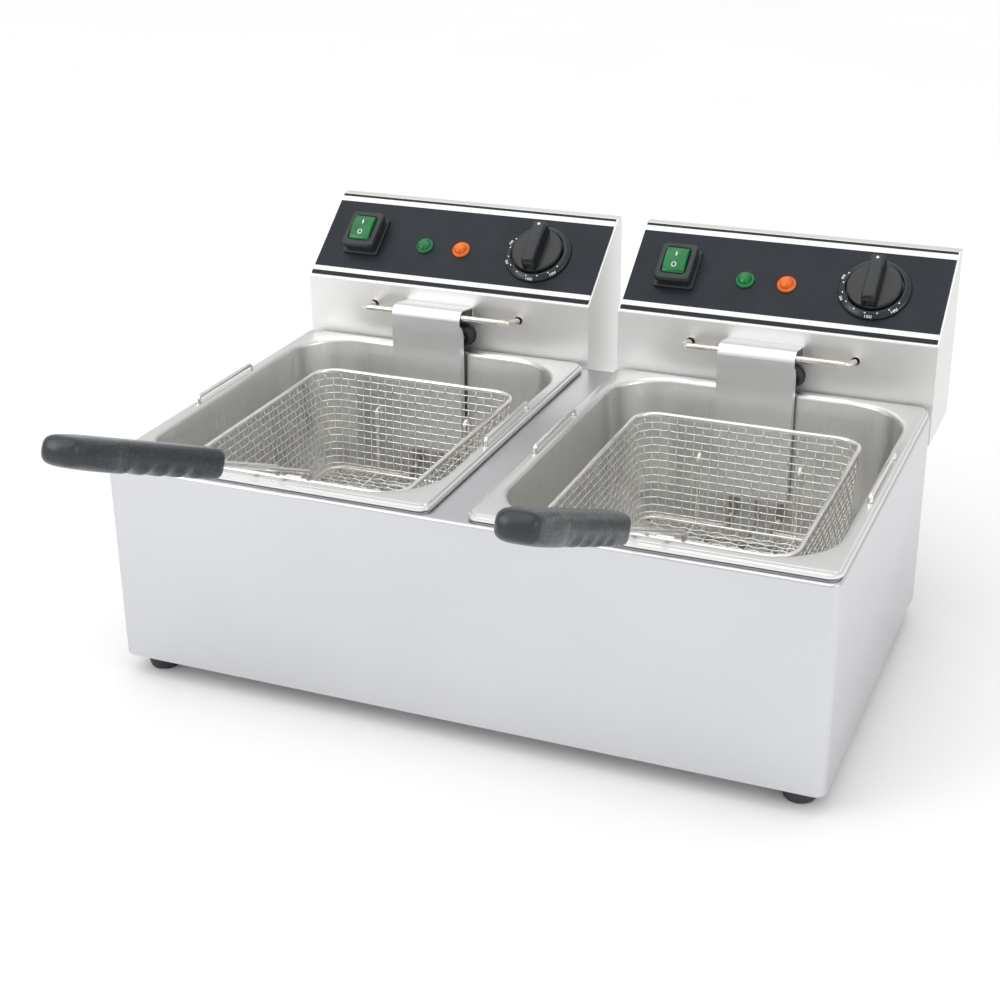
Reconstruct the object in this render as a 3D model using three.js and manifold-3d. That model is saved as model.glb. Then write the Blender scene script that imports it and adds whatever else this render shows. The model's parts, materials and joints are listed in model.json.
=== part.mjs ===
// Twin-tank electric countertop deep fryer.
// Millimetres. +Z is up, +X is the operator's right and the front panel faces -Y.
// The model is built with Y = 0 on the front panel and Z = 0 on the body's lower edge,
// then lifted onto its feet and centred on its footprint at the end of the file.

import * as THREE from 'three';
import { mergeVertices } from 'three/addons/utils/BufferGeometryUtils.js';
import Module from 'manifold-3d';

const wasm = await Module();
wasm.setup();

// ---------------------------------------------------------------- driving dimensions

const clearance = 0.3;           // gap between pieces that touch

const bodyWidth = 560;
const bodyDepth = 333;
const bodyHeight = 162;
const bodySheet = 1.2;
const bodyCornerRadius = 9;
const bodyBendRadius = 2.4;
const bodyLip = 12;              // inward fold along the lower edge

const footHeight = 16;
const footRadius = 14;
const footInsetX = 22;
const footInsetY = 24;
const studRadius = 3;
const studHeight = 9;
const basePlateSheet = 1;

const tankSideMargin = 1.1;      // deck left bare outside each flange
const tankCentreGap = 27.8;      // between the two flanges
const tankEndMargin = 4;
const flangeRise = 6.5;          // plateau above the deck
const flangeWidth = 12;
const flangeCornerRadius = 10;
const flangeLip = 2;             // rolled edge that rests on the deck
const flangeStep = 1.9;
const openingRadius = 50;
const tankFloorGap = 18.5;       // tank floor above the body's lower edge
const tankSheet = 1;
const tankDraft = 3.5;           // how far each wall leans in over its depth
const tankFloorRadius = 14;
const deckLedge = 3;             // deck under the flange edge
const mouthRadius = 20;

const bailLength = 84;
const bailRadius = 1.8;
const bailRise = 5;              // bar centre above the plateau
const bailTravel = 30;
const bailFoot = 7;
const bailInset = 6.3;           // bar centre inside the flange edge
const bailBendRadius = 2.4;

const basketSideGap = 28.5;      // rim centre to tank opening
const basketFrontGap = 29;
const basketRearGap = 44;
const basketRimDrop = 15.5;      // rim centre below the flange plateau
const basketRimRadius = 2;
const basketCornerRadius = 20;
const basketFloorGap = 43.5;     // basket underside above the tank floor
const basketDraft = 4;
const basketWall = 1.4;

const hookRadius = 1.7;
const hookSpacing = 84;
const hookDrop = 33;             // hook crown below the rim
const hookTipLength = 16;
const hookOpening = 6.2;

const handleWireRadius = 1.9;
const handleRise = 23.6;          // degrees above horizontal in use
const handleBaseHalf = 13.5;     // half the wire spacing at the hinge
const handleGripHalf = 6.2;      // half the wire spacing in the grip
const handleReach = 120;         // rim to grip along the handle
const hingeInset = 7;            // hinge axis behind the front rim
const hingeDrop = 3;             // hinge axis below the rim
const kneeInset = 5.5;           // bend above the rim, behind its front wire
const kneeRise = 5.6;
const gripLength = 182;
const gripSocket = 24;
const clipWidth = 13;
const clipHeight = 17;
const clipSheet = 1;

const headGap = 25.8;            // between the two control heads
const headDepth = 83.5;
const headSheet = 1.2;
const headDrop = 29;             // underside below the deck
const headBendRise = 55;         // front bend above the deck
const headTopRise = 112.8;
const headTopDepth = 9.8;
const headStandOff = 0.5;
const headBendRadius = 3;

const bracketSheet = 1.5;
const bracketWidth = 190;
const bracketLeg = 36;
const bracketBendRadius = 1.2;
const tongueSpacing = 120;
const tongueWidth = 14;
const tongueHeight = 15;
const tongueInset = 16;          // tongue ahead of the bracket's rear edge
const tongueSlack = 1;

const rodRadius = 2.5;
const rodHalfWidth = 69;
const rodReach = 25;
const rodRise = 40;              // front of the rod above the deck
const rodRootRise = 35;          // rod above the deck where it leaves the head
const rodTail = 8;               // length of rod inside the head
const rodBendRadius = 8;

const coverSheet = 1;
const coverMarginLeft = 17.6;    // cover beyond the element's left leg
const coverMarginRight = 6.3;
const coverReach = 30;           // front face ahead of the head
const coverTopRise = 47;         // front of the top above the deck
const coverFall = 4.4;           // the top drops this much towards the head
const coverTab = 11;             // tab down the head's front
const coverFoot = 21.25;         // lower edge above the element
const coverReturn = 9;
const coverReturnRise = 33;      // side returns end this far above the deck
const coverFrontBend = 8;
const coverBackBend = 2.4;

const tubeRadius = 3.25;
const tubeSpacing = 40;
const tubeExitRise = 17.5;       // element legs above the deck where they leave the head
const tubeReach = 25.5;          // upright run ahead of the head
const tubeSideGap = 33;          // outer run to tank opening
const tubeFrontGap = 30;
const tubeRearGap = 27;
const tubeInnerStep = 22;        // inner return ahead of the outer one
const tubeTail = 22;             // length of leg inside the head
const tubeBendRadius = 8;
const bulbRadius = 3;
const bulbLength = 70;
const bulbRearGap = 40;
const capillaryRadius = 1;
const capillaryBendRadius = 5;
const capillaryTail = 30;

const bossRadius = 8.6;          // seal round each element leg
const bossReach = 11;
const sealFlange = 2.4;
const sealNeck = 6;

const labelThickness = 0.5;
const labelMargin = 1.4;
const switchInset = 41;          // switch centre to the head's side
const knobInset = 60;            // knob centre to the head's side
const powerLampX = -33.6;
const heatLampX = 1.6;
const lampDrop = 4;              // lamps below the middle of the sloping panel
const lampBodyRadius = 4.8;
const dialWidth = 7.1;           // dial ring outside the knob
const knobRadius = 22.4;
const knobHeight = 6.4;
const shaftRadius = 3;
const bushRadius = 5;
const switchHalfX = 10.5;        // part of the switch behind the panel
const switchHalfY = 13;
const switchDepth = 24;
const rockerTilt = 6;            // degrees either side of level

const glandRadius = 8;
const glandInset = 38;
const glandRise = 19;            // gland above the head's underside
const cordRadius = 4.5;

const ventRows = 5;
const ventHalfWidth = 34;
const ventPitch = 9;
const ventHeight = 3.2;
const ventDrop = 12;             // lowest vent below the front bend
const terminalInset = 26;        // terminal block ahead of the head's back

// ---------------------------------------------------------------- dependent sizes

const flangeHalfX = (bodyWidth / 2 - tankSideMargin - tankCentreGap / 2) / 2;
const moduleX = tankCentreGap / 2 + flangeHalfX;
const flangeHalfY = bodyDepth / 2 - tankEndMargin;
const tankY = bodyDepth / 2;
const openingHalfX = flangeHalfX - flangeWidth;
const openingHalfY = flangeHalfY - flangeWidth;
const plateauHeight = bodyHeight + flangeRise;
const tankFloorHeight = tankFloorGap;
const tankFrontWall = tankY - openingHalfY;
const tankRearWall = tankY + openingHalfY - tankDraft;

const rimHalfX = openingHalfX - basketSideGap;
const basketFront = tankY - openingHalfY + basketFrontGap;
const basketRear = tankY + openingHalfY - basketRearGap;
const rimHalfY = (basketRear - basketFront) / 2;
const basketY = (basketRear + basketFront) / 2;
const rimHeight = plateauHeight - basketRimDrop;
const basketBottom = tankFloorHeight + basketFloorGap;

const headHalfX = (bodyWidth - headGap) / 4;
const headX = headGap / 2 + headHalfX;
const headFront = bodyDepth + headStandOff;
const headBack = headFront + headDepth;
const headUnderside = bodyHeight - headDrop;
const headBendHeight = bodyHeight + headBendRise;
const headTopHeight = bodyHeight + headTopRise;
const slopeRun = headDepth - headTopDepth;
const slopeRise = headTopHeight - headBendHeight;
const slopeAngle = Math.atan2(slopeRise, slopeRun);
const slopeLength = Math.hypot(slopeRun, slopeRise);
const switchX = switchInset - headHalfX;
const knobX = headHalfX - knobInset;
const dialRadius = knobRadius + dialWidth;
const labelTop = clearance + labelThickness;
const panelSurface = labelTop + clearance;

const tubeY = headFront - tubeReach;
const tubeLevel = basketBottom - 2 * hookRadius - 2 * clearance - tubeRadius;
const tubeExitHeight = bodyHeight + tubeExitRise;
const coverLeft = -tubeSpacing / 2 - coverMarginLeft;
const coverRight = tubeSpacing / 2 + coverMarginRight;
const coverY = headFront - coverReach;
const rodY = headFront - rodReach;
const rodHeight = bodyHeight + rodRise;
const rodRootHeight = bodyHeight + rodRootRise;

// ---------------------------------------------------------------- materials

function finish(color, roughness, metalness, extra = {}) {
  return new THREE.MeshStandardMaterial({ color, roughness, metalness, ...extra });
}

const bodySteel = finish(0xd6d8da, 0.34, 1);
const tankSteel = finish(0xb9b8b4, 0.3, 1);
const wireChrome = finish(0xd9d4c8, 0.16, 1);
const coverSteel = finish(0xc4c6c8, 0.28, 1);
const tubeSteel = finish(0x8c8a84, 0.38, 1);
const copper = finish(0xb0714a, 0.35, 1);
const labelBlack = finish(0x323a42, 0.5, 0);
const glossBlack = finish(0x16181a, 0.3, 0);
const gripPlastic = finish(0x38444b, 0.42, 0);
const rubber = finish(0x1d1e20, 0.85, 0);
const ceramic = finish(0xe6e1d4, 0.6, 0);
const greenLens = finish(0x0e8a3a, 0.2, 0, { transparent: true, opacity: 0.9 });
const orangeLens = finish(0xe8661c, 0.2, 0, { transparent: true, opacity: 0.9 });

// ---------------------------------------------------------------- joining and cutting

function toSolid(geometry) {
  const bare = geometry.clone();
  bare.deleteAttribute('normal');
  bare.deleteAttribute('uv');
  const merged = mergeVertices(bare, 1e-4);
  return new wasm.Manifold(new wasm.Mesh({
    numProp: 3,
    vertProperties: Float32Array.from(merged.attributes.position.array),
    triVerts: Uint32Array.from(merged.index.array),
  }));
}

function toGeometry(solid) {
  const mesh = solid.getMesh();
  const geometry = new THREE.BufferGeometry();
  geometry.setAttribute('position', new THREE.BufferAttribute(mesh.vertProperties, 3));
  geometry.setIndex(new THREE.BufferAttribute(mesh.triVerts, 1));
  const faceted = geometry.toNonIndexed();
  faceted.computeVertexNormals();
  return faceted;
}

function cut(geometry, cutters) {
  let solid = toSolid(geometry);
  for (const cutter of cutters) {
    solid = solid.subtract(toSolid(cutter));
  }
  return toGeometry(solid);
}

function join(geometries) {
  let solid = toSolid(geometries[0]);
  for (const other of geometries.slice(1)) {
    solid = solid.add(toSolid(other));
  }
  return toGeometry(solid);
}

// ---------------------------------------------------------------- shape helpers

const alongX = new THREE.Matrix4().makeBasis(
  new THREE.Vector3(0, 1, 0), new THREE.Vector3(0, 0, 1), new THREE.Vector3(1, 0, 0));
const alongY = new THREE.Matrix4().makeBasis(
  new THREE.Vector3(0, 0, 1), new THREE.Vector3(1, 0, 0), new THREE.Vector3(0, 1, 0));

function box(x, y, z) {
  const size = [x[1] - x[0], y[1] - y[0], z[1] - z[0]];
  const middle = [(x[0] + x[1]) / 2, (y[0] + y[1]) / 2, (z[0] + z[1]) / 2];
  return new THREE.BoxGeometry(...size).translate(...middle);
}

// Rounded rectangle centred on the origin.
function roundedRectangle(halfX, halfY, radius) {
  const shape = new THREE.Shape();
  const x = halfX - radius;
  const y = halfY - radius;
  shape.absarc(x, y, radius, 0, Math.PI / 2);
  shape.absarc(-x, y, radius, Math.PI / 2, Math.PI);
  shape.absarc(-x, -y, radius, Math.PI, Math.PI * 1.5);
  shape.absarc(x, -y, radius, Math.PI * 1.5, Math.PI * 2);
  shape.closePath();
  return shape;
}

function slab(shape, bottom, top, curveSegments = 2) {
  const options = { depth: top - bottom, bevelEnabled: false, curveSegments };
  return new THREE.ExtrudeGeometry(shape, options).translate(0, 0, bottom);
}

// Cylinder standing on Z between two heights.
function drum(radius, bottom, top, sides = 16) {
  const cylinder = new THREE.CylinderGeometry(radius, radius, top - bottom, sides);
  return cylinder.rotateX(Math.PI / 2).translate(0, 0, (top + bottom) / 2);
}

// Cylinder lying along Y through a point in the X-Z plane.
function drumAlongY(radius, x, z, front, back, sides = 16) {
  const cylinder = new THREE.CylinderGeometry(radius, radius, back - front, sides);
  return cylinder.translate(x, (front + back) / 2, z);
}

// Solid of revolution about Z; each profile point is [radius, height].
function turned(profile, sides = 20) {
  const points = profile.map(([radius, height]) => new THREE.Vector2(radius, height));
  return new THREE.LatheGeometry(points, sides).rotateX(Math.PI / 2);
}

// Replaces each corner of a line by an arc, with one radius for all or one for each.
// Returns the points and their directions.
function bend(corners, radii, steps) {
  const points = [corners[0].clone()];
  const directions = [corners[1].clone().sub(corners[0]).normalize()];
  for (let i = 1; i < corners.length - 1; i += 1) {
    const radius = Array.isArray(radii) ? radii[i - 1] : radii;
    const before = corners[i].clone().sub(corners[i - 1]).normalize();
    const after = corners[i + 1].clone().sub(corners[i]).normalize();
    const turn = before.angleTo(after);
    const across = after.clone().addScaledVector(before, -Math.cos(turn)).normalize();
    const start = corners[i].clone().addScaledVector(before, -radius * Math.tan(turn / 2));
    for (let step = 0; step <= steps; step += 1) {
      const angle = turn * step / steps;
      const point = start.clone().addScaledVector(before, radius * Math.sin(angle));
      points.push(point.addScaledVector(across, radius * (1 - Math.cos(angle))));
      const direction = before.clone().multiplyScalar(Math.cos(angle));
      directions.push(direction.addScaledVector(across, Math.sin(angle)));
    }
  }
  points.push(corners.at(-1).clone());
  directions.push(corners.at(-1).clone().sub(corners.at(-2)).normalize());
  return { points, directions };
}

// A path that an extrusion follows exactly, point by point.
class BentPath extends THREE.Curve {
  constructor(corners, radius, steps) {
    super();
    Object.assign(this, bend(corners, radius, steps));
    this.segments = this.points.length - 1;
  }

  getPointAt(u) {
    return this.points[Math.round(u * this.segments)].clone();
  }

  getTangentAt(u) {
    return this.directions[Math.round(u * this.segments)].clone();
  }
}

// Round wire or tube bent through the given corners.
function wire(corners, radius, bendRadius, sides = 8, steps = 3) {
  const path = new BentPath(corners.map((corner) => new THREE.Vector3(...corner)), bendRadius, steps);
  const section = new THREE.Shape();
  section.absarc(0, 0, radius, 0, Math.PI * 2);
  return new THREE.ExtrudeGeometry(section, {
    steps: path.segments,
    extrudePath: path,
    curveSegments: sides / 2,
  });
}

// Bent sheet: a line in the Y-Z plane given a thickness and a width along X.
function bentSheet(line, thickness, bendRadius, left, right) {
  const corners = line.map(([y, z]) => new THREE.Vector3(y, z, 0));
  const { points, directions } = bend(corners, bendRadius, 5);
  const side = (offset) => points.map((point, i) => new THREE.Vector2(
    point.x - directions[i].y * offset, point.y + directions[i].x * offset));
  const outline = [...side(-thickness / 2), ...side(thickness / 2).reverse()];
  return slab(new THREE.Shape(outline), left, right).applyMatrix4(alongX);
}

// One ring of points around a rounded rectangle.
function ringPoints({ halfX, halfY, radius, z, shiftY = 0 }, cornerSteps) {
  const ring = [];
  const corners = [[1, 1], [-1, 1], [-1, -1], [1, -1]];
  corners.forEach(([sideX, sideY], corner) => {
    for (let step = 0; step <= cornerSteps; step += 1) {
      const angle = (corner + step / cornerSteps) * Math.PI / 2;
      const x = sideX * (halfX - radius) + radius * Math.cos(angle);
      const y = sideY * (halfY - radius) + radius * Math.sin(angle);
      ring.push(x, y + shiftY, z);
    }
  });
  return ring;
}

// Skin through a stack of rounded rectangles. It is capped at both ends, or its last
// section joins its first when looped.
function lofted(sections, { cornerSteps = 4, looped = false } = {}) {
  const count = 4 * (cornerSteps + 1);
  const positions = sections.flatMap((section) => ringPoints(section, cornerSteps));
  const index = [];
  const bands = looped ? sections.length : sections.length - 1;
  for (let band = 0; band < bands; band += 1) {
    const low = band * count;
    const high = ((band + 1) % sections.length) * count;
    for (let i = 0; i < count; i += 1) {
      const next = (i + 1) % count;
      index.push(low + i, low + next, high + next, low + i, high + next, high + i);
    }
  }
  if (!looped) {
    const last = (sections.length - 1) * count;
    for (let i = 1; i < count - 1; i += 1) {
      index.push(0, i + 1, i, last, last + i, last + i + 1);
    }
  }
  const geometry = new THREE.BufferGeometry();
  geometry.setAttribute('position', new THREE.Float32BufferAttribute(positions, 3));
  geometry.setIndex(index);
  const faceted = geometry.toNonIndexed();
  faceted.computeVertexNormals();
  return faceted;
}

// ---------------------------------------------------------------- scene assembly

const fryer = new THREE.Group();

function place(parent, name, geometry, material) {
  const mesh = new THREE.Mesh(geometry, material);
  mesh.name = name;
  parent.add(mesh);
  return mesh;
}

// ---------------------------------------------------------------- body

function bodyShell() {
  const outer = { halfX: bodyWidth / 2, halfY: bodyDepth / 2, radius: bodyCornerRadius };
  const inset = (amount, z) => ({
    halfX: outer.halfX - amount,
    halfY: outer.halfY - amount,
    radius: Math.max(outer.radius - amount, 1),
    z,
  });
  const shell = lofted([
    inset(bodySheet, bodyHeight - bodySheet),
    inset(bodySheet, bodySheet),
    inset(bodyLip, bodySheet),
    inset(bodyLip, 0),
    inset(0, 0),
    inset(0, bodyHeight - bodyBendRadius),
    inset(bodyBendRadius * 0.3, bodyHeight - bodyBendRadius * 0.3),
    inset(bodyBendRadius, bodyHeight),
  ]).translate(0, tankY, 0);
  const mouth = roundedRectangle(flangeHalfX - deckLedge, flangeHalfY - deckLedge, mouthRadius);
  const mouths = [-moduleX, moduleX].map((x) => (
    slab(mouth, bodyHeight - 4, bodyHeight + 4).translate(x, tankY, 0)));
  return cut(shell, mouths);
}

const footPlaces = [
  ['foot_front_left', -1, footInsetY],
  ['foot_front_right', 1, footInsetY],
  ['foot_rear_left', -1, bodyDepth - footInsetY],
  ['foot_rear_right', 1, bodyDepth - footInsetY],
].map(([name, side, y]) => ({ name, x: side * (bodyWidth / 2 - footInsetX), y }));

function basePlate() {
  const gap = bodySheet + clearance;
  const plate = roundedRectangle(bodyWidth / 2 - gap, bodyDepth / 2 - gap, bodyCornerRadius - gap);
  const bottom = bodySheet + clearance;
  const studHoles = footPlaces.map(({ x, y }) => (
    drum(studRadius + clearance, -5, 10, 10).translate(x, y, 0)));
  const slots = [];
  for (const x of [-moduleX, moduleX]) {
    for (let row = -2; row <= 2; row += 1) {
      const slot = box([-40, 40], [-3, 3], [-5, 10]);
      slots.push(slot.translate(x, tankY + row * bodyDepth / 16, 0));
    }
  }
  const blank = slab(plate, bottom, bottom + basePlateSheet).translate(0, tankY, 0);
  return cut(blank, [...studHoles, ...slots]);
}

function foot() {
  return turned([
    [0, -footHeight],
    [footRadius * 0.74, -footHeight],
    [footRadius * 0.86, -footHeight + 1.8],
    [footRadius, -footHeight * 0.35],
    [footRadius, -clearance],
    [studRadius, -clearance],
    [studRadius, studHeight],
    [0, studHeight],
  ], 14);
}

place(fryer, 'body_shell', bodyShell(), bodySteel);
place(fryer, 'base_plate', basePlate(), bodySteel);
for (const { name, x, y } of footPlaces) {
  place(fryer, name, foot(), rubber).position.set(x, y, 0);
}

// ---------------------------------------------------------------- head bracket

const bracketTop = headUnderside - clearance;
const bracketBack = bodyDepth + clearance;
const tongueY = bracketBack + bracketLeg - tongueInset;

function headBracket() {
  const line = [
    [bracketBack + bracketSheet / 2, bracketTop - bracketLeg],
    [bracketBack + bracketSheet / 2, bracketTop - bracketSheet / 2],
    [bracketBack + bracketLeg, bracketTop - bracketSheet / 2],
  ];
  const angle = bentSheet(line, bracketSheet, bracketBendRadius, -bracketWidth / 2, bracketWidth / 2);
  const tongues = [-1, 1].map((side) => box(
    [side * tongueSpacing / 2 - tongueWidth / 2, side * tongueSpacing / 2 + tongueWidth / 2],
    [tongueY, tongueY + bracketSheet],
    [bracketTop - bracketSheet / 2, bracketTop + tongueHeight],
  ));
  return join([angle, ...tongues]);
}

// ---------------------------------------------------------------- tank

const flangeEdges = { halfX: flangeHalfX, halfY: flangeHalfY, radius: flangeCornerRadius };

function flangeRing(inset, z) {
  return {
    halfX: flangeEdges.halfX - inset,
    halfY: flangeEdges.halfY - inset,
    radius: flangeEdges.radius - Math.min(inset, 3),
    z,
  };
}

function openingRing(grow, z) {
  return {
    halfX: openingHalfX + grow,
    halfY: openingHalfY + grow,
    radius: openingRadius + grow,
    z,
  };
}

function tank() {
  const lipBottom = bodyHeight + clearance;
  const wallFoot = tankFloorHeight + tankFloorRadius;
  const r = tankFloorRadius;
  return lofted([
    openingRing(-tankDraft - r, tankFloorHeight - tankSheet),
    openingRing(-tankDraft - r * 0.3, tankFloorHeight - tankSheet + r * 0.25),
    openingRing(-tankDraft + tankSheet, wallFoot),
    openingRing(tankSheet, plateauHeight - 6),
    openingRing(tankSheet + 3, plateauHeight - tankSheet),
    flangeRing(flangeLip + flangeStep, plateauHeight - tankSheet),
    flangeRing(flangeLip, plateauHeight - tankSheet - flangeStep),
    flangeRing(flangeLip * 0.7, lipBottom),
    flangeRing(0.2, lipBottom),
    flangeRing(0, plateauHeight - flangeStep - 1),
    flangeRing(1.2, plateauHeight - flangeStep),
    flangeRing(flangeLip, plateauHeight - flangeStep),
    flangeRing(flangeLip + 1.2, plateauHeight),
    openingRing(3.4, plateauHeight),
    openingRing(1.1, plateauHeight - 0.9),
    openingRing(0, plateauHeight - 3.6),
    openingRing(-tankDraft, wallFoot),
    openingRing(-tankDraft - r * 0.3, tankFloorHeight + r * 0.25),
    openingRing(-tankDraft - r, tankFloorHeight),
  ]);
}

const bailX = flangeHalfX - bailInset;
const bailTop = plateauHeight + bailRise;

function tankWithBailHoles() {
  const holes = [];
  for (const x of [-bailX, bailX]) {
    for (const y of [-bailLength / 2, bailLength / 2]) {
      const hole = drum(bailRadius + clearance, plateauHeight - 4, plateauHeight + 4, 8);
      holes.push(hole.translate(x, y, 0));
    }
  }
  return cut(tank(), holes);
}

// Drop-down wire handle: a bar with two legs through the flange, turned in below it.
function bail() {
  const half = bailLength / 2;
  const foot = plateauHeight - tankSheet - bailTravel - bailRadius - 1;
  return wire([
    [0, half - bailFoot, foot],
    [0, half, foot],
    [0, half, bailTop],
    [0, -half, bailTop],
    [0, -half, foot],
    [0, -half + bailFoot, foot],
  ], bailRadius, bailBendRadius, 6, 2);
}

// ---------------------------------------------------------------- basket

const basketTop = rimHeight - basketRimRadius - clearance;

function basketRing(inset, z, radius = basketCornerRadius) {
  return { halfX: rimHalfX - inset, halfY: rimHalfY - inset, radius, z };
}

function basketCage() {
  const wall = basketWall;
  return lofted([
    basketRing(basketDraft + 6, basketBottom),
    basketRing(basketDraft + 1, basketBottom + 3),
    basketRing(basketDraft, basketBottom + 8),
    basketRing(0, basketTop),
    basketRing(wall, basketTop),
    basketRing(basketDraft + wall, basketBottom + 8),
    basketRing(basketDraft + 1 + wall, basketBottom + 3 + wall * 0.5),
    basketRing(basketDraft + 6, basketBottom + wall),
  ]);
}

function basketRim() {
  const sides = 8;
  const sections = [];
  for (let i = 0; i < sides; i += 1) {
    const angle = (i / sides) * Math.PI * 2 - Math.PI / 2;
    const out = basketRimRadius * Math.cos(angle);
    const z = rimHeight + basketRimRadius * Math.sin(angle);
    sections.push(basketRing(-out, z, basketCornerRadius + out));
  }
  return lofted(sections, { looped: true });
}

// One wire that forms both rear hooks and the two runners under the basket.
function basketHook() {
  const under = basketBottom - hookRadius - clearance;
  const crown = rimHeight - hookDrop;
  const leg = rimHalfY + hookRadius + clearance;
  const tip = leg + 2 * hookRadius + hookOpening;
  const half = hookSpacing / 2;
  const front = -rimHalfY + basketCornerRadius;
  const bendRadius = (tip - leg) / 2 - 0.1;
  return wire([
    [-half, tip, crown - hookTipLength],
    [-half, tip, crown],
    [-half, leg, crown],
    [-half, leg, under],
    [-half, front, under],
    [half, front, under],
    [half, leg, under],
    [half, leg, crown],
    [half, tip, crown],
    [half, tip, crown - hookTipLength],
  ], hookRadius, bendRadius, 6);
}

// ---------------------------------------------------------------- basket handle

const hingeY = basketFront + hingeInset;
const hingeZ = rimHeight - hingeDrop;
const riseAngle = THREE.MathUtils.degToRad(handleRise);
const kneeY = basketFront + kneeInset;
const kneeZ = rimHeight + kneeRise;

// A point on the handle's axis, at a distance from the knee.
function alongHandle(distance) {
  return [kneeY - distance * Math.cos(riseAngle), kneeZ + distance * Math.sin(riseAngle)];
}

function handleWire() {
  const end = alongHandle(handleReach + gripSocket - 1);
  const side = (sign) => [
    [sign * handleGripHalf, ...end],
    [sign * handleBaseHalf, kneeY, kneeZ],
    [sign * handleBaseHalf, hingeY, hingeZ],
  ];
  return wire([...side(-1), ...side(1).reverse()], handleWireRadius, 3.6, 8, 2);
}

// Strap folded round the hinge wire and fixed to the inside of the front wall.
function handleClip() {
  const hole = handleWireRadius + clearance;
  const eyeRadius = hole + clipSheet;
  const eye = new THREE.Shape();
  eye.absarc(hingeY, hingeZ, eyeRadius, 0, Math.PI * 2);
  const strip = box(
    [-clipWidth / 2, clipWidth / 2],
    [hingeY - eyeRadius, hingeY - hole + 0.2],
    [hingeZ - clipHeight, hingeZ],
  );
  const barrel = slab(eye, -clipWidth / 2, clipWidth / 2, 8).applyMatrix4(alongX);
  const bore = new THREE.Shape();
  bore.absarc(hingeY, hingeZ, hole, 0, Math.PI * 2);
  const drill = slab(bore, -clipWidth, clipWidth, 8).applyMatrix4(alongX);
  return cut(join([strip, barrel]), [drill]);
}

// Sections of the moulded grip from its wire end to its rounded free end:
// share of the length, half width, half depth and corner radius.
const gripSections = [
  [0, 9.9, 9.7, 4],
  [0.012, 10.9, 10.6, 5],
  [0.04, 11.4, 11.1, 5.5],
  [0.3, 11.6, 11.2, 6],
  [0.62, 11.8, 11, 6],
  [0.7, 12.4, 10.9, 6.5],
  [0.77, 13.8, 10.8, 7],
  [0.87, 14.6, 10.5, 7],
  [0.95, 14.2, 10, 7],
  [0.985, 12.6, 8.8, 6.5],
  [1, 9.4, 6.2, 5],
];

function grip() {
  const sections = gripSections.map(([share, halfX, halfY, radius]) => (
    { z: share * gripLength, halfX, halfY, radius }));
  const solid = lofted(sections, { cornerSteps: 3 });
  const spread = handleBaseHalf - handleGripHalf;
  const slope = spread / (handleReach + gripSocket);
  const mouth = handleGripHalf + slope * gripSocket;
  const sockets = [-1, 1].map((side) => {
    const socket = drum(handleWireRadius + clearance, -10, gripSocket, 10);
    return socket.rotateY(-side * Math.atan(slope)).translate(side * mouth, 0, 0);
  });
  return cut(solid, sockets);
}

// ---------------------------------------------------------------- heating element

function heatingElement() {
  const leg = tubeSpacing / 2;
  const outer = openingHalfX - tubeSideGap;
  const inner = outer / 3;
  const rear = tankRearWall - tubeRearGap;
  const front = tankFrontWall + tubeFrontGap;
  const innerRear = rear - tubeInnerStep;
  return wire([
    [-leg, headFront + tubeTail, tubeExitHeight],
    [-leg, tubeY, tubeExitHeight],
    [-leg, tubeY, tubeLevel],
    [-leg, rear, tubeLevel],
    [-outer, rear, tubeLevel],
    [-outer, front, tubeLevel],
    [-inner, front, tubeLevel],
    [-inner, innerRear, tubeLevel],
    [inner, innerRear, tubeLevel],
    [inner, front, tubeLevel],
    [outer, front, tubeLevel],
    [outer, rear, tubeLevel],
    [leg, rear, tubeLevel],
    [leg, tubeY, tubeLevel],
    [leg, tubeY, tubeExitHeight],
    [leg, headFront + tubeTail, tubeExitHeight],
  ], tubeRadius, tubeBendRadius, 6, 2);
}

// Moulded seal round both element legs and the capillary where they leave the head.
function elementSeal() {
  const half = tubeSpacing / 2;
  const flange = roundedRectangle(bossRadius + 0.8, half + bossRadius + 0.8, bossRadius);
  const neck = roundedRectangle(sealNeck, half + sealNeck, sealNeck - 0.1);
  const front = headFront - clearance;
  const pieces = [
    slab(flange, front - sealFlange, front).applyMatrix4(alongY).translate(0, 0, tubeExitHeight),
    slab(neck, front - 1, headFront + sealNeck).applyMatrix4(alongY).translate(0, 0, tubeExitHeight),
    drumAlongY(bossRadius, -half, tubeExitHeight, front - bossReach, front, 14),
    drumAlongY(bossRadius, half, tubeExitHeight, front - bossReach, front, 14),
  ];
  const bore = tubeRadius + clearance;
  const bores = [
    drumAlongY(bore, -half, tubeExitHeight, front - 30, front + 30, 10),
    drumAlongY(bore, half, tubeExitHeight, front - 30, front + 30, 10),
    drumAlongY(capillaryRadius + clearance, 0, tubeExitHeight, front - 30, front + 30, 6),
  ];
  return cut(join(pieces), bores);
}

// Sensing bulb under the heating plane and the capillary tube that runs back into the head.
function thermostatBulb() {
  const level = tubeLevel - tubeRadius - bulbRadius - 1;
  const rear = tankRearWall - bulbRearGap;
  const capillary = wire([
    [0, headFront + capillaryTail, tubeExitHeight],
    [0, tubeY + 1, tubeExitHeight],
    [0, tubeY + 1, level],
    [0, rear - 6, level],
  ], capillaryRadius, capillaryBendRadius, 6);
  const bulbFront = rear - bulbLength;
  return join([capillary, drumAlongY(bulbRadius, 0, level, bulbFront, rear, 10)]);
}

// ---------------------------------------------------------------- cover plate and rod

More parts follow.
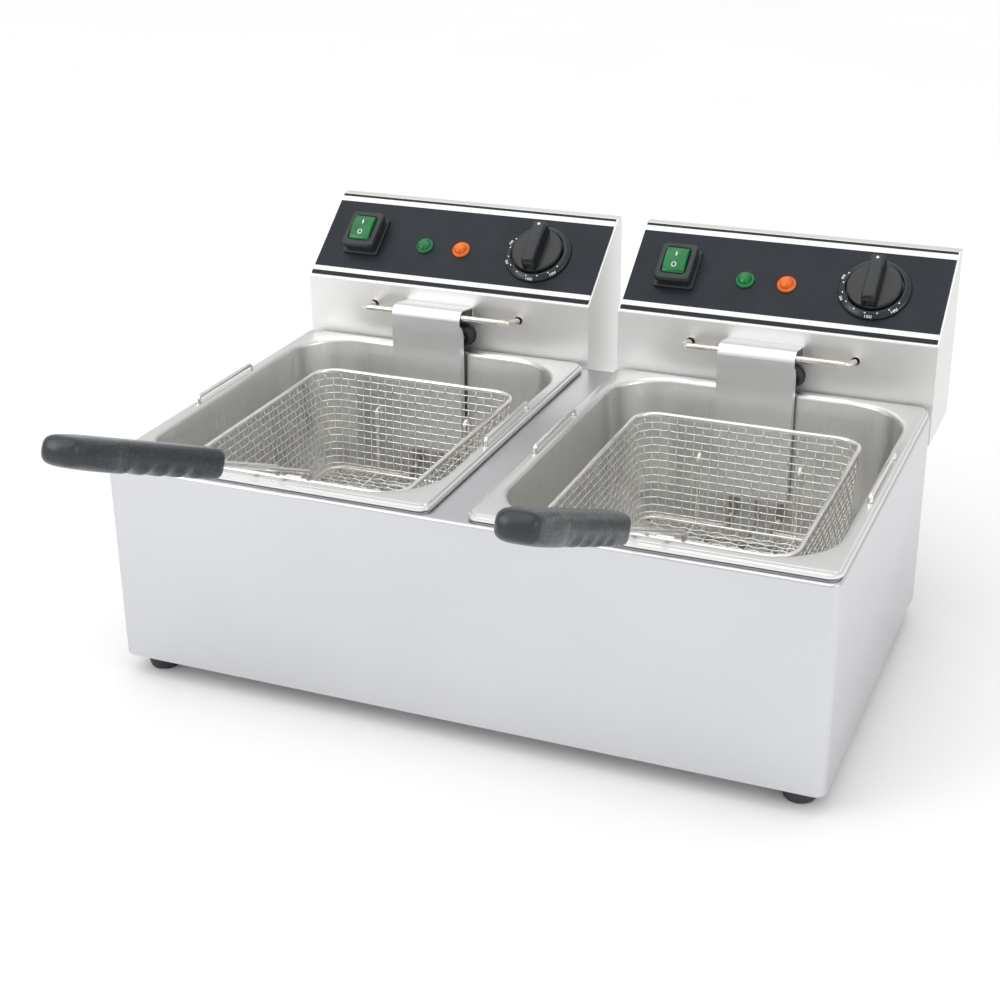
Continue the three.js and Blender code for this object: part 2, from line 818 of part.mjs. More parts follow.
function elementCover() {
  const back = headFront - clearance - coverSheet / 2;
  const front = coverY + coverSheet / 2;
  const top = bodyHeight + coverTopRise;
  const foot = tubeLevel + coverFoot;
  const plate = bentSheet([
    [back, top - coverFall - coverTab],
    [back, top - coverFall],
    [front, top],
    [front, foot],
  ], coverSheet, [coverBackBend, coverFrontBend], coverLeft, coverRight);
  const returns = [coverLeft, coverRight - coverSheet].map((x) => box(
    [x, x + coverSheet],
    [coverY, coverY + coverReturn],
    [foot, bodyHeight + coverReturnRise],
  ));
  return join([plate, ...returns]);
}

function hangingRod() {
  const rear = headFront + rodTail;
  const slope = (rodRootHeight - rodHeight) / rodReach;
  const rearHeight = rodHeight + slope * (rodReach + rodTail);
  return wire([
    [-rodHalfWidth, rear, rearHeight],
    [-rodHalfWidth, rodY, rodHeight],
    [rodHalfWidth, rodY, rodHeight],
    [rodHalfWidth, rear, rearHeight],
  ], rodRadius, rodBendRadius, 10, 4);
}

// ---------------------------------------------------------------- head casing

// Matrix of the sloping panel: origin mid-slope on the outer face, +Y up the slope.
const panelMatrix = new THREE.Matrix4().makeRotationX(slopeAngle).setPosition(
  0, headFront + slopeRun / 2, headBendHeight + slopeRise / 2);

const switchHole = roundedRectangle(switchHalfX + 0.4, switchHalfY + 0.4, 1.5);

// Cutters for every hole through the sloping panel, in the panel's own frame.
function panelCutters() {
  const lamp = (x) => drum(lampBodyRadius + clearance, -6, 6, 10).translate(x, -lampDrop, 0);
  return [
    slab(switchHole, -6, 6, 1).translate(switchX, 0, 0),
    lamp(powerLampX),
    lamp(heatLampX),
    drum(bushRadius + clearance, -6, 6, 10).translate(knobX, 0, 0),
  ];
}

function headOutline(inset) {
  const front = headFront + inset;
  const back = headBack + (inset ? 1 : 0);
  const bottom = headUnderside - (inset ? 1 : 0);
  const top = headTopHeight - inset;
  const lean = inset * Math.tan(slopeAngle / 2);
  const corners = [
    [front, bottom],
    [front, headBendHeight - lean],
    [headBack - headTopDepth + lean, top],
    [back, top],
  ].map(([y, z]) => new THREE.Vector3(y, z, 0));
  const { points } = bend(corners, headBendRadius - inset, 2);
  const outline = [...points, new THREE.Vector3(back, bottom, 0)];
  return new THREE.Shape(outline.map(({ x, y }) => new THREE.Vector2(x, y)).reverse());
}

function headShell() {
  const half = headHalfX;
  const outer = slab(headOutline(0), -half, half).applyMatrix4(alongX);
  const inner = slab(headOutline(headSheet), headSheet - half, half - headSheet).applyMatrix4(alongX);
  const slotHalf = sealNeck + clearance;
  const sealSlot = roundedRectangle(slotHalf, tubeSpacing / 2 + slotHalf, sealNeck);
  const rodHoles = [-rodHalfWidth, rodHalfWidth].map((x) => (
    drumAlongY(rodRadius + 1, x, rodRootHeight, headFront - 5, headFront + 5, 8)));
  return cut(outer, [
    inner,
    ...panelCutters().map((cutter) => cutter.applyMatrix4(panelMatrix)),
    slab(sealSlot, headFront - 5, headFront + 5).applyMatrix4(alongY)
      .translate(0, 0, tubeExitHeight),
    ...rodHoles,
  ]);
}

const coverBack = headBack - 1.6;
const glandHeight = headUnderside + glandRise;

function headBackCover() {
  const half = headHalfX - headSheet - clearance;
  const front = headFront + headSheet + clearance;
  const bottom = headUnderside + headSheet / 2;
  const top = headTopHeight - headSheet - clearance;
  const line = [[front, bottom], [coverBack, bottom], [coverBack, top]];
  const sheet = bentSheet(line, headSheet, 1, -half, half);
  const slotHalf = tongueWidth / 2 + tongueSlack;
  const slots = [-1, 1].map((side) => box(
    [side * tongueSpacing / 2 - slotHalf, side * tongueSpacing / 2 + slotHalf],
    [tongueY - tongueSlack, tongueY + bracketSheet + tongueSlack],
    [headUnderside - 5, headUnderside + 5],
  ));
  const vents = [];
  for (let row = 0; row < ventRows; row += 1) {
    const z = headBendHeight - ventDrop + row * ventPitch;
    vents.push(box(
      [-ventHalfWidth, ventHalfWidth],
      [coverBack - 5, coverBack + 5],
      [z, z + ventHeight],
    ));
  }
  const cordHole = drumAlongY(glandRadius + clearance, glandInset - headHalfX, glandHeight,
    coverBack - 5, coverBack + 5);
  return cut(sheet, [...slots, ...vents, cordHole]);
}

// Cord gland with a clear bore: nut and barrel inside, domed collar outside.
function cableGland() {
  const sheetFace = headSheet / 2 + clearance;
  return turned([
    [cordRadius, -12],
    [glandRadius, -12],
    [glandRadius, sheetFace],
    [glandRadius + 3.4, sheetFace],
    [glandRadius + 3.4, sheetFace + 4],
    [glandRadius - 0.4, sheetFace + 9],
    [cordRadius + 1.2, sheetFace + 11],
    [cordRadius, sheetFace + 11],
    [cordRadius, -12],
  ], 12).rotateX(-Math.PI / 2).rotateZ(Math.PI);
}

// ---------------------------------------------------------------- controls on the panel

function controlLabel() {
  const half = headHalfX - labelMargin;
  const blank = slab(roundedRectangle(half, slopeLength / 2 - 2.6, 1), clearance, labelTop, 1);
  return cut(blank, panelCutters());
}

function switchHousing() {
  const tiers = [
    slab(roundedRectangle(switchHalfX, switchHalfY, 1), -switchDepth, panelSurface + 1, 1),
    slab(roundedRectangle(17, 20, 3), panelSurface, panelSurface + 3, 1),
    slab(roundedRectangle(14.4, 17.4, 3), panelSurface + 2, panelSurface + 7, 1),
    slab(roundedRectangle(15.6, 18.6, 4), panelSurface + 6, panelSurface + 13, 1),
  ];
  const pocket = slab(roundedRectangle(11.8, 14.8, 1), panelSurface + 3.6, panelSurface + 20, 1);
  return cut(join(tiers), [pocket]);
}

const rockerPivot = panelSurface + 8;

// Rocker about its own pivot, resting with its lower end pressed.
function switchRocker() {
  const outline = new THREE.Shape();
  outline.moveTo(-13.4, -2.6);
  outline.lineTo(13.4, -2.6);
  outline.lineTo(13.4, 6);
  outline.quadraticCurveTo(0, 10, -13.4, 6);
  outline.closePath();
  const solid = slab(outline, -11, 11, 5).applyMatrix4(alongX);
  return solid.rotateX(THREE.MathUtils.degToRad(rockerTilt));
}

function lamp() {
  const base = panelSurface;
  return turned([
    [0, -20],
    [lampBodyRadius, -20],
    [lampBodyRadius, base],
    [8, base],
    [8, base + 1.4],
    [7.2, base + 2.3],
    [6.2, base + 2.5],
    [5.2, base + 4.4],
    [2.8, base + 5.6],
    [0, base + 6],
  ], 14);
}

function dialRing() {
  const base = panelSurface;
  return turned([
    [bushRadius + 2, base],
    [dialRadius, base],
    [dialRadius, base + 1],
    [dialRadius - 1.4, base + 2.6],
    [knobRadius + 2.2, base + 4.6],
    [knobRadius + 1, base + 4.2],
    [knobRadius + 0.8, base + 1.4],
    [bushRadius + 2, base + 1.4],
    [bushRadius + 2, base],
  ], 24);
}

function knob() {
  const base = panelSurface + 2.2;
  const disc = turned([
    [0, base],
    [knobRadius, base],
    [knobRadius, base + knobHeight - 1.4],
    [knobRadius - 1.3, base + knobHeight],
    [0, base + knobHeight],
  ], 24);
  const bar = new THREE.ExtrudeGeometry(roundedRectangle(4.4, knobRadius - 0.4, 1.6), {
    depth: 13,
    bevelThickness: 1.2,
    bevelSize: 1,
    bevelSegments: 1,
    curveSegments: 1,
  }).translate(0, 0, base + 4);
  const bore = drum(shaftRadius + clearance, base - 5, base + 12, 10);
  return cut(join([disc, bar]), [bore]);
}

// Thermostat behind the panel, its threaded bush and its spindle.
function thermostat() {
  const under = -headSheet - clearance;
  return join([
    box([-20, 20], [-16, 16], [under - 22, under]),
    drum(bushRadius, under - 1, panelSurface + 0.8),
    drum(shaftRadius, panelSurface, panelSurface + 12.4, 10),
  ]);
}

// Ceramic terminal strip with a row of open pockets.
function terminalBlock() {
  const block = box([-24, 24], [-9, 9], [0, 16]);
  const pockets = [-16, 0, 16].map((x) => box([x - 5, x + 5], [-5.5, 5.5], [6, 20]));
  return cut(block, pockets);
}

// ---------------------------------------------------------------- one tank-and-head module

function addModule(side, x) {
  const outward = Math.sign(x);

  const tankGroup = new THREE.Group();
  tankGroup.position.set(x, tankY, 0);
  fryer.add(tankGroup);
  place(tankGroup, `tank_${side}`, tankWithBailHoles(), tankSteel);
  place(tankGroup, `tank_bail_outer_${side}`, bail(), wireChrome).position.x = outward * bailX;
  place(tankGroup, `tank_bail_inner_${side}`, bail(), wireChrome).position.x = -outward * bailX;

  const basketGroup = new THREE.Group();
  basketGroup.position.set(x, basketY, 0);
  fryer.add(basketGroup);
  place(basketGroup, `basket_cage_${side}`, basketCage(), wireChrome);
  place(basketGroup, `basket_rim_${side}`, basketRim(), wireChrome);
  place(basketGroup, `basket_hook_${side}`, basketHook(), wireChrome);

  const handleGroup = new THREE.Group();
  handleGroup.position.x = x;
  fryer.add(handleGroup);
  place(handleGroup, `basket_handle_clip_${side}`, handleClip(), wireChrome);
  place(handleGroup, `basket_handle_wire_${side}`, handleWire(), wireChrome);
  const gripMesh = place(handleGroup, `basket_grip_${side}`, grip(), gripPlastic);
  gripMesh.position.set(0, ...alongHandle(handleReach));
  gripMesh.rotation.x = Math.PI / 2 - riseAngle;

  const headGroup = new THREE.Group();
  headGroup.position.x = outward * headX;
  fryer.add(headGroup);
  place(headGroup, `head_bracket_${side}`, headBracket(), bodySteel);
  place(headGroup, `head_shell_${side}`, headShell(), bodySteel);
  place(headGroup, `head_back_cover_${side}`, headBackCover(), bodySteel);
  place(headGroup, `element_cover_${side}`, elementCover(), coverSteel);
  place(headGroup, `hanging_rod_${side}`, hangingRod(), wireChrome);
  place(headGroup, `heating_element_${side}`, heatingElement(), tubeSteel);
  place(headGroup, `element_seal_${side}`, elementSeal(), rubber);
  place(headGroup, `thermostat_bulb_${side}`, thermostatBulb(), copper);
  const gland = place(headGroup, `cable_gland_${side}`, cableGland(), glossBlack);
  gland.position.set(glandInset - headHalfX, coverBack, glandHeight);
  const block = place(headGroup, `terminal_block_${side}`, terminalBlock(), ceramic);
  block.position.set(0, headBack - terminalInset, headUnderside + headSheet + clearance);

  const panel = new THREE.Group();
  panel.applyMatrix4(panelMatrix);
  headGroup.add(panel);
  place(panel, `control_label_${side}`, controlLabel(), labelBlack);
  place(panel, `switch_housing_${side}`, switchHousing(), glossBlack).position.x = switchX;
  place(panel, `switch_rocker_${side}`, switchRocker(), greenLens)
    .position.set(switchX, 0, rockerPivot);
  place(panel, `power_lamp_${side}`, lamp(), greenLens).position.set(powerLampX, -lampDrop, 0);
  place(panel, `heat_lamp_${side}`, lamp(), orangeLens).position.set(heatLampX, -lampDrop, 0);
  place(panel, `dial_ring_${side}`, dialRing(), glossBlack).position.x = knobX;
  place(panel, `knob_${side}`, knob(), glossBlack).position.x = knobX;
  place(panel, `thermostat_${side}`, thermostat(), glossBlack).position.x = knobX;
}

addModule('left', -moduleX);
addModule('right', moduleX);

// ---------------------------------------------------------------- placing the whole object

fryer.updateMatrixWorld(true);
const bounds = new THREE.Box3().setFromObject(fryer);
fryer.position.set(0, -(bounds.min.y + bounds.max.y) / 2, footHeight);

export default fryer;
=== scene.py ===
"""Looks of a countertop deep fryer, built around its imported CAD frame.

Shapes are written in millimetres in the row frame and turned into metres when a mesh is made.
"""
import json
import math

import bpy
import numpy as np
from mathutils import Matrix, Vector


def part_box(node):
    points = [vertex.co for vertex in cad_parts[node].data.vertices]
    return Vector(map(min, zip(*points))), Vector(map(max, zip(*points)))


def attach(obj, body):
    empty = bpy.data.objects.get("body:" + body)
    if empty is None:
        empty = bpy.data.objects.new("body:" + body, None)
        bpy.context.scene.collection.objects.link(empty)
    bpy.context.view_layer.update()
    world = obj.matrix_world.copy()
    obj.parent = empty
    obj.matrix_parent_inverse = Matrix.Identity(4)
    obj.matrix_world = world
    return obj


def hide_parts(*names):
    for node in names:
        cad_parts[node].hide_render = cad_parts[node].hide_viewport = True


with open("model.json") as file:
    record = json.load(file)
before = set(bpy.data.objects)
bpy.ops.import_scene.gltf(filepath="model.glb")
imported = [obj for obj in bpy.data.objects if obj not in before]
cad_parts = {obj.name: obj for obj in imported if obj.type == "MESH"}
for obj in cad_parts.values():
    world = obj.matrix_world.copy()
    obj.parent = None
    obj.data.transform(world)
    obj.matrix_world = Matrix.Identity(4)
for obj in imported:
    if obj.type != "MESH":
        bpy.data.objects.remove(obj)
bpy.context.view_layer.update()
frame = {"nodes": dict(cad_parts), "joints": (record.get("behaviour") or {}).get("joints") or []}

SIDES = ("left", "right")
MM = 0.001
GAP = 0.3                      # gap the CAD keeps between pieces that touch
AXIS_RADIUS = 0.02             # stands for a turned profile's point on its axis


def box_mm(node):
    """Low and high corners of a CAD node, in millimetres."""
    low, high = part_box(node)
    return np.array(low) / MM, np.array(high) / MM


def middle_x(node):
    low, high = box_mm(node)
    return (low[0] + high[0]) / 2


def joint_point(name):
    """A joint's own point at rest, in metres."""
    joint = next(j for j in frame["joints"] if j["name"] == name)
    return np.array(joint["pos_m"])


# ---- sizes read from the frame

body_low, body_high = box_mm("body_shell")
deck = body_high[2]
head_low, head_high = box_mm("head_shell_left")
head_front = head_low[1]
head_back = head_high[1]


# ---- mesh helpers

def new_piece(name, verts, faces, materials, sharp_angle=35.0, face_slots=None):
    """Mesh object from millimetre vertices, shaded smooth below the sharp angle."""
    mesh = bpy.data.meshes.new(name)
    mesh.from_pydata((np.asarray(verts, float) * MM).tolist(), [], [tuple(f) for f in faces])
    for material in materials if isinstance(materials, (list, tuple)) else [materials]:
        mesh.materials.append(material)
    if face_slots is not None:
        mesh.polygons.foreach_set("material_index", np.asarray(face_slots, np.int32))
    mesh.validate()
    mesh.shade_smooth()
    mesh.set_sharp_from_angle(angle=math.radians(sharp_angle))
    mesh.update()
    piece = bpy.data.objects.new(name, mesh)
    bpy.context.scene.collection.objects.link(piece)
    return piece


def settle(piece, sharp_angle=35.0):
    """Applies the modifiers on a piece."""
    graph = bpy.context.evaluated_depsgraph_get()
    mesh = bpy.data.meshes.new_from_object(piece.evaluated_get(graph))
    piece.modifiers.clear()
    piece.data = mesh
    mesh.shade_smooth()
    mesh.set_sharp_from_angle(angle=math.radians(sharp_angle))
    return piece


def rounded(piece, width, segments=3, angle=30.0):
    """Rounds a piece's sharp edges by a width in millimetres."""
    bevel = piece.modifiers.new("edges", "BEVEL")
    bevel.width = width * MM
    bevel.segments = segments
    bevel.limit_method = "ANGLE"
    bevel.angle_limit = math.radians(angle)
    settle(piece, 30.0)
    even = piece.modifiers.new("even", "WEIGHTED_NORMAL")
    even.keep_sharp = True
    return piece


def combined(piece, others, operation):
    """Adds or cuts other pieces, and removes them."""
    for other in others:
        modifier = piece.modifiers.new("combine", "BOOLEAN")
        modifier.operation = operation
        modifier.solver = "EXACT"
        modifier.object = other
    settle(piece)
    for other in others:
        bpy.data.objects.remove(other)
    return piece


def carve(piece, cutters):
    return combined(piece, cutters, "DIFFERENCE")


def joined(pieces, name):
    """One object from several, with all their materials."""
    verts, faces, slots, materials = [], [], [], []
    offset = 0
    for piece in pieces:
        mesh = piece.data
        world = piece.matrix_world
        verts += [tuple((world @ v.co) / MM) for v in mesh.vertices]
        for polygon in mesh.polygons:
            material = mesh.materials[polygon.material_index]
            if material not in materials:
                materials.append(material)
            faces.append([offset + i for i in polygon.vertices])
            slots.append(materials.index(material))
        offset += len(mesh.vertices)
        bpy.data.objects.remove(piece)
    return new_piece(name, verts, faces, materials, face_slots=slots)


def bent(corners, radius, steps=6):
    """A line through corners, each rounded to the radius."""
    corners = [np.array(c, float) for c in corners]
    radii = radius if isinstance(radius, (list, tuple)) else [radius] * (len(corners) - 2)
    points = [corners[0]]
    for before, corner, after, r in zip(corners, corners[1:], corners[2:], radii):
        a = (corner - before) / np.linalg.norm(corner - before)
        b = (after - corner) / np.linalg.norm(after - corner)
        turn = math.acos(np.clip(a @ b, -1, 1))
        across = b - a * math.cos(turn)
        across /= np.linalg.norm(across)
        start = corner - a * r * math.tan(turn / 2)
        for step in range(steps + 1):
            t = turn * step / steps
            points.append(start + a * r * math.sin(t) + across * r * (1 - math.cos(t)))
    points.append(corners[-1])
    return np.array(points)


def directions(points, closed):
    if closed:
        d = np.roll(points, -1, -2) - np.roll(points, 1, -2)
    else:
        d = np.gradient(points, axis=-2)
    return d / np.linalg.norm(d, axis=-1, keepdims=True)


def carried_normals(points):
    """Normals along a line that turn with it and never twist."""
    along = directions(points, False)
    first = np.cross(along[0], [0.3, 0.5, 0.8])
    normals = [first / np.linalg.norm(first)]
    for t in along[1:]:
        n = normals[-1] - t * (normals[-1] @ t)
        normals.append(n / np.linalg.norm(n))
    return np.array(normals)


def tube_arrays(lines, radius, sides, closed=False, normals=None):
    """Vertices and faces of round wires. lines is (wires, points, 3)."""
    lines = np.asarray(lines, float)
    if lines.ndim == 2:
        lines = lines[None]
    count, length, _ = lines.shape
    along = directions(lines, closed)
    if normals is None:
        normals = np.array([carried_normals(line) for line in lines])
    normals = np.broadcast_to(normals, lines.shape)
    side = normals - along * np.sum(normals * along, -1, keepdims=True)
    side /= np.linalg.norm(side, axis=-1, keepdims=True)
    other = np.cross(along, side)
    angles = np.arange(sides) * 2 * math.pi / sides
    ring = (side[:, :, None] * np.cos(angles)[:, None] + other[:, :, None] * np.sin(angles)[:, None])
    radius = np.broadcast_to(np.asarray(radius, float), (length,))
    verts = (lines[:, :, None] + ring * radius[None, :, None, None]).reshape(-1, 3)
    spans = length if closed else length - 1
    i = np.arange(spans)[:, None]
    j = np.arange(sides)[None]
    near, far = i * sides, (i + 1) % length * sides
    after = (j + 1) % sides
    quads = np.stack([near + j, near + after, far + after, far + j], -1).reshape(-1, 4)
    faces = (quads[None] + np.arange(count)[:, None, None] * length * sides).reshape(-1, 4).tolist()
    if not closed:
        for wire in range(count):
            base = wire * length * sides
            faces.append([base + k for k in reversed(range(sides))])
            faces.append([base + (length - 1) * sides + k for k in range(sides)])
    return verts, faces


def tubes(name, groups, material, sharp_angle=50.0):
    """One piece from several groups of wires, each the arguments of tube_arrays."""
    verts, faces, offset = [], [], 0
    for group in groups:
        group_verts, group_faces = tube_arrays(**group)
        verts.append(group_verts)
        faces += [[offset + k for k in face] for face in group_faces]
        offset += len(group_verts)
    return new_piece(name, np.concatenate(verts), faces, material, sharp_angle)


def wire(name, corners, bend_radius, steps, radius, sides, material):
    """One round wire through corners."""
    group = dict(lines=bent(corners, bend_radius, steps), radius=radius, sides=sides)
    return tubes(name, [group], material)


def oval_ring(half_x, half_y, radius, z, steps=12, centre=(0, 0)):
    """Points of a level rounded rectangle."""
    points = []
    for corner, (sx, sy) in enumerate(((1, 1), (-1, 1), (-1, -1), (1, -1))):
        for step in range(steps + 1):
            a = (corner + step / steps) * math.pi / 2
            points.append((
                centre[0] + sx * (half_x - radius) + radius * math.cos(a),
                centre[1] + sy * (half_y - radius) + radius * math.sin(a),
                z,
            ))
    return points


def loft_arrays(rings, looped=False):
    """Vertices and faces through rings of points, capped unless looped."""
    count = len(rings[0])
    verts = [p for ring in rings for p in ring]
    faces = []
    for band in range(len(rings) if looped else len(rings) - 1):
        low, high = band * count, (band + 1) % len(rings) * count
        for i in range(count):
            j = (i + 1) % count
            faces.append((low + i, low + j, high + j, high + i))
    if not looped:
        faces.append(tuple(reversed(range(count))))
        faces.append(tuple(range(len(verts) - count, len(verts))))
    return verts, faces


def loft(name, rings, material, sharp_angle=35.0, **options):
    verts, faces = loft_arrays(rings, **options)
    return new_piece(name, verts, faces, material, sharp_angle)


def circle(radius, height, steps, centre=(0, 0)):
    angles = np.arange(steps) * 2 * math.pi / steps
    return [(centre[0] + radius * math.cos(a), centre[1] + radius * math.sin(a), height) for a in angles]


def lathe(name, profile, material, centre=(0, 0, 0), steps=48, sharp_angle=35.0, looped=False):
    """Turned piece about Z from (radius, height) points."""
    rings = [circle(max(radius, AXIS_RADIUS), height, steps) for radius, height in profile]
    verts, faces = loft_arrays(rings, looped)
    return new_piece(name, np.array(verts) + centre, faces, material, sharp_angle)


def prism(name, outline, x_low, x_high, material, sharp_angle=35.0):
    """An outline in the Y-Z plane stretched along X."""
    count = len(outline)
    verts = [(x, y, z) for x in (x_low, x_high) for y, z in outline]
    faces = [(i, (i + 1) % count, count + (i + 1) % count, count + i) for i in range(count)]
    faces.append(tuple(reversed(range(count))))
    faces.append(tuple(range(count, 2 * count)))
    area = sum(a[0] * b[1] - b[0] * a[1] for a, b in zip(outline, outline[1:] + outline[:1]))
    if area < 0:
        faces = [tuple(reversed(face)) for face in faces]
    return new_piece(name, verts, faces, material, sharp_angle)


def sheet_outline(line, thickness, radius, steps=6):
    """Outline of a bent sheet whose middle follows a line in the Y-Z plane."""
    points = bent([(y, z, 0) for y, z in line], radius, steps)
    along = directions(points, False)
    side = np.stack([-along[:, 1], along[:, 0]], -1) * thickness / 2
    flat = points[:, :2]
    return [tuple(p) for p in flat - side] + [tuple(p) for p in (flat + side)[::-1]]


def block(name, low, high, material):
    """A box between two corners."""
    x, y, z = zip(low, high)
    outline = [(y[0], z[0]), (y[1], z[0]), (y[1], z[1]), (y[0], z[1])]
    return prism(name, outline, x[0], x[1], material)


def turned_to(point, angle):
    """Matrix of a turn about X, then a move to a point in millimetres."""
    return Matrix.Translation(Vector(point) * MM) @ Matrix.Rotation(angle, 4, "X")


def place(piece, body, slot, *nodes):
    """Rides on a body and stands for CAD nodes. The slot is not used."""
    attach(piece, body)
    if nodes:
        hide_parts(*nodes)
    return piece


# ---- materials

class Surface:
    """A principled material with short calls for its procedural detail."""

    def __init__(self, name, color, roughness, metallic=0.0, **constants):
        self.material = bpy.data.materials.new(name)
        self.material.use_nodes = True
        self.tree = self.material.node_tree
        self.shader = self.tree.nodes["Principled BSDF"]
        self.shader.inputs["Base Color"].default_value = (*color, 1)
        self.shader.inputs["Roughness"].default_value = roughness
        self.shader.inputs["Metallic"].default_value = metallic
        for key, value in constants.items():
            self.shader.inputs[key.replace("_", " ")].default_value = value
        self.coordinates = self.tree.nodes.new("ShaderNodeTexCoord").outputs["Object"]
        self.normal = None

    def node(self, kind, **settings):
        made = self.tree.nodes.new(kind)
        for key, value in settings.items():
            setattr(made, key, value)
        return made

    def link(self, source, target):
        self.tree.links.new(source, target)

    def noise(self, scale, stretch=(1, 1, 1), detail=3.0):
        """Noise in object space, in cells per metre along each axis."""
        mapping = self.node("ShaderNodeMapping")
        mapping.inputs["Scale"].default_value = stretch
        self.link(self.coordinates, mapping.inputs["Vector"])
        noise = self.node("ShaderNodeTexNoise")
        noise.inputs["Scale"].default_value = scale
        noise.inputs["Detail"].default_value = detail
        self.link(mapping.outputs["Vector"], noise.inputs["Vector"])
        return noise.outputs["Fac"]

    def spread(self, value, low, high, start=0.3, end=0.7):
        """Maps a noise to a range of numbers."""
        ranged = self.node("ShaderNodeMapRange")
        for key, number in zip(("From Min", "From Max", "To Min", "To Max"), (start, end, low, high)):
            ranged.inputs[key].default_value = number
        self.link(value, ranged.inputs["Value"])
        return ranged.outputs["Result"]

    def tint(self, value, low, high, start=0.3, end=0.7):
        """Base colour between two colours."""
        mix = self.node("ShaderNodeMix", data_type="RGBA")
        mix.inputs["A"].default_value = (*low, 1)
        mix.inputs["B"].default_value = (*high, 1)
        self.link(self.spread(value, 0, 1, start, end), mix.inputs["Factor"])
        self.link(mix.outputs["Result"], self.shader.inputs["Base Color"])

    def rough(self, value, low, high, start=0.3, end=0.7):
        self.link(self.spread(value, low, high, start, end), self.shader.inputs["Roughness"])

    def bump(self, value, distance):
        """Raises the surface by a height in metres; calls add up."""
        bump = self.node("ShaderNodeBump")
        bump.inputs["Distance"].default_value = distance
        self.link(value, bump.inputs["Height"])
        if self.normal is not None:
            self.link(self.normal, bump.inputs["Normal"])
        self.normal = bump.outputs["Normal"]
        self.link(self.normal, self.shader.inputs["Normal"])


def brushed(name, low, high, rough_low, rough_high, stretch, grain=3e-7):
    """Rolled stainless sheet: fine streaks one way and slow cloudy changes."""
    surface = Surface(name, high, rough_high, 1.0)
    streaks = surface.noise(120, stretch, detail=3)
    clouds = surface.noise(5, detail=2)
    surface.tint(clouds, low, high)
    surface.rough(streaks, rough_low, rough_high)
    surface.bump(streaks, grain)
    return surface.material


def wire_metal(name, low, high, rough_low, rough_high):
    """Plated wire with faint plating ripples and a few dull spots."""
    surface = Surface(name, high, rough_high, 1.0)
    surface.tint(surface.noise(90, detail=3), low, high)
    surface.rough(surface.noise(260, detail=2), rough_low, rough_high)
    surface.bump(surface.noise(700, detail=2), 8e-6)
    return surface.material


def moulded(name, low, high, rough_low, rough_high, grain=1.2e-5, scale=900, **constants):
    """Moulded plastic: fine spark texture with slow colour drift."""
    surface = Surface(name, high, rough_high, 0.0, **constants)
    surface.tint(surface.noise(35, detail=3), low, high)
    surface.rough(surface.noise(150, detail=3), rough_low, rough_high)
    surface.bump(surface.noise(scale, detail=3), grain)
    return surface.material


ALONG_X = (0.15, 9, 9)
ALONG_Z = (9, 9, 0.15)

body_steel = brushed("body_steel", (0.640, 0.645, 0.665), (0.675, 0.680, 0.700), 0.28, 0.36, ALONG_X)
# The heads' steel is the body's steel with a rougher finish; its lighter colour is painted light, not a
# different tone.
head_steel_painted_lighter = brushed("head_steel_painted_lighter", (0.81, 0.81, 0.80), (0.86, 0.86, 0.85), 0.46, 0.54, ALONG_X)
tank_steel = brushed("tank_steel", (0.80, 0.80, 0.79), (0.85, 0.85, 0.84), 0.27, 0.31, ALONG_Z, 4e-8)
cover_steel = brushed("cover_steel", (0.86, 0.87, 0.88), (0.92, 0.93, 0.94), 0.36, 0.44, ALONG_X)
hidden_steel = brushed("hidden_steel", (0.60, 0.60, 0.60), (0.70, 0.70, 0.70), 0.32, 0.45, ALONG_X)
bright_wire = wire_metal("bright_wire", (0.84, 0.82, 0.79), (0.93, 0.91, 0.88), 0.16, 0.26)
rod_chrome = wire_metal("rod_chrome", (0.80, 0.74, 0.66), (0.90, 0.86, 0.78), 0.07, 0.13)
mesh_wire = wire_metal("mesh_wire", (0.80, 0.79, 0.75), (0.92, 0.91, 0.88), 0.18, 0.28)
tube_metal = wire_metal("tube_metal", (0.42, 0.40, 0.37), (0.56, 0.54, 0.50), 0.32, 0.45)
sensor_metal = wire_metal("sensor_metal", (0.44, 0.38, 0.33), (0.56, 0.49, 0.43), 0.32, 0.45)
grip_plastic = moulded("grip_plastic", (0.021, 0.029, 0.035), (0.025, 0.034, 0.041), 0.26, 0.29, 1e-6, 500)
gloss_black = moulded("gloss_black", (0.010, 0.011, 0.013), (0.014, 0.016, 0.018), 0.20, 0.28, 1.5e-6)
boot_black = moulded("boot_black", (0.014, 0.015, 0.017), (0.026, 0.028, 0.030), 0.34, 0.5)
rubber = moulded("rubber", (0.020, 0.022, 0.024), (0.040, 0.043, 0.046), 0.55, 0.75, 2e-5)
label_film = moulded("label_film", (0.011, 0.015, 0.020), (0.016, 0.021, 0.028), 0.40, 0.48, 6e-6, 1800,
                     Specular_IOR_Level=0.25)
label_line = moulded("label_line", (0.010, 0.012, 0.015), (0.015, 0.018, 0.022), 0.40, 0.48, 6e-6, 1800,
                     Specular_IOR_Level=0.25)
label_white = moulded("label_white", (0.84, 0.85, 0.86), (0.92, 0.92, 0.93), 0.36, 0.44, 3e-6, 1800)
print_white = moulded("print_white", (0.78, 0.80, 0.80), (0.90, 0.92, 0.92), 0.40, 0.5, 2e-6, 1800)
ceramic = moulded("ceramic", (0.78, 0.75, 0.68), (0.88, 0.85, 0.79), 0.5, 0.65, 2e-5)


def lens(name, deep, bright, glow):
    """Translucent tinted plastic, lit a little from inside."""
    surface = Surface(name, bright, 0.1, 0.0, Specular_IOR_Level=0.3, Coat_Weight=0.25, Coat_Roughness=0.03)
    surface.tint(surface.noise(110, detail=1), deep, bright, 0.3, 0.7)
    surface.rough(surface.noise(200, detail=2), 0.08, 0.16)
    surface.shader.inputs["Emission Color"].default_value = (*bright, 1)
    surface.shader.inputs["Emission Strength"].default_value = glow
    return surface.material


green_lens = lens("green_lens", (0.0, 0.11, 0.025), (0.003, 0.17, 0.04), 0.12)
orange_lens = lens("orange_lens", (0.62, 0.10, 0.005), (0.80, 0.16, 0.01), 0.12)


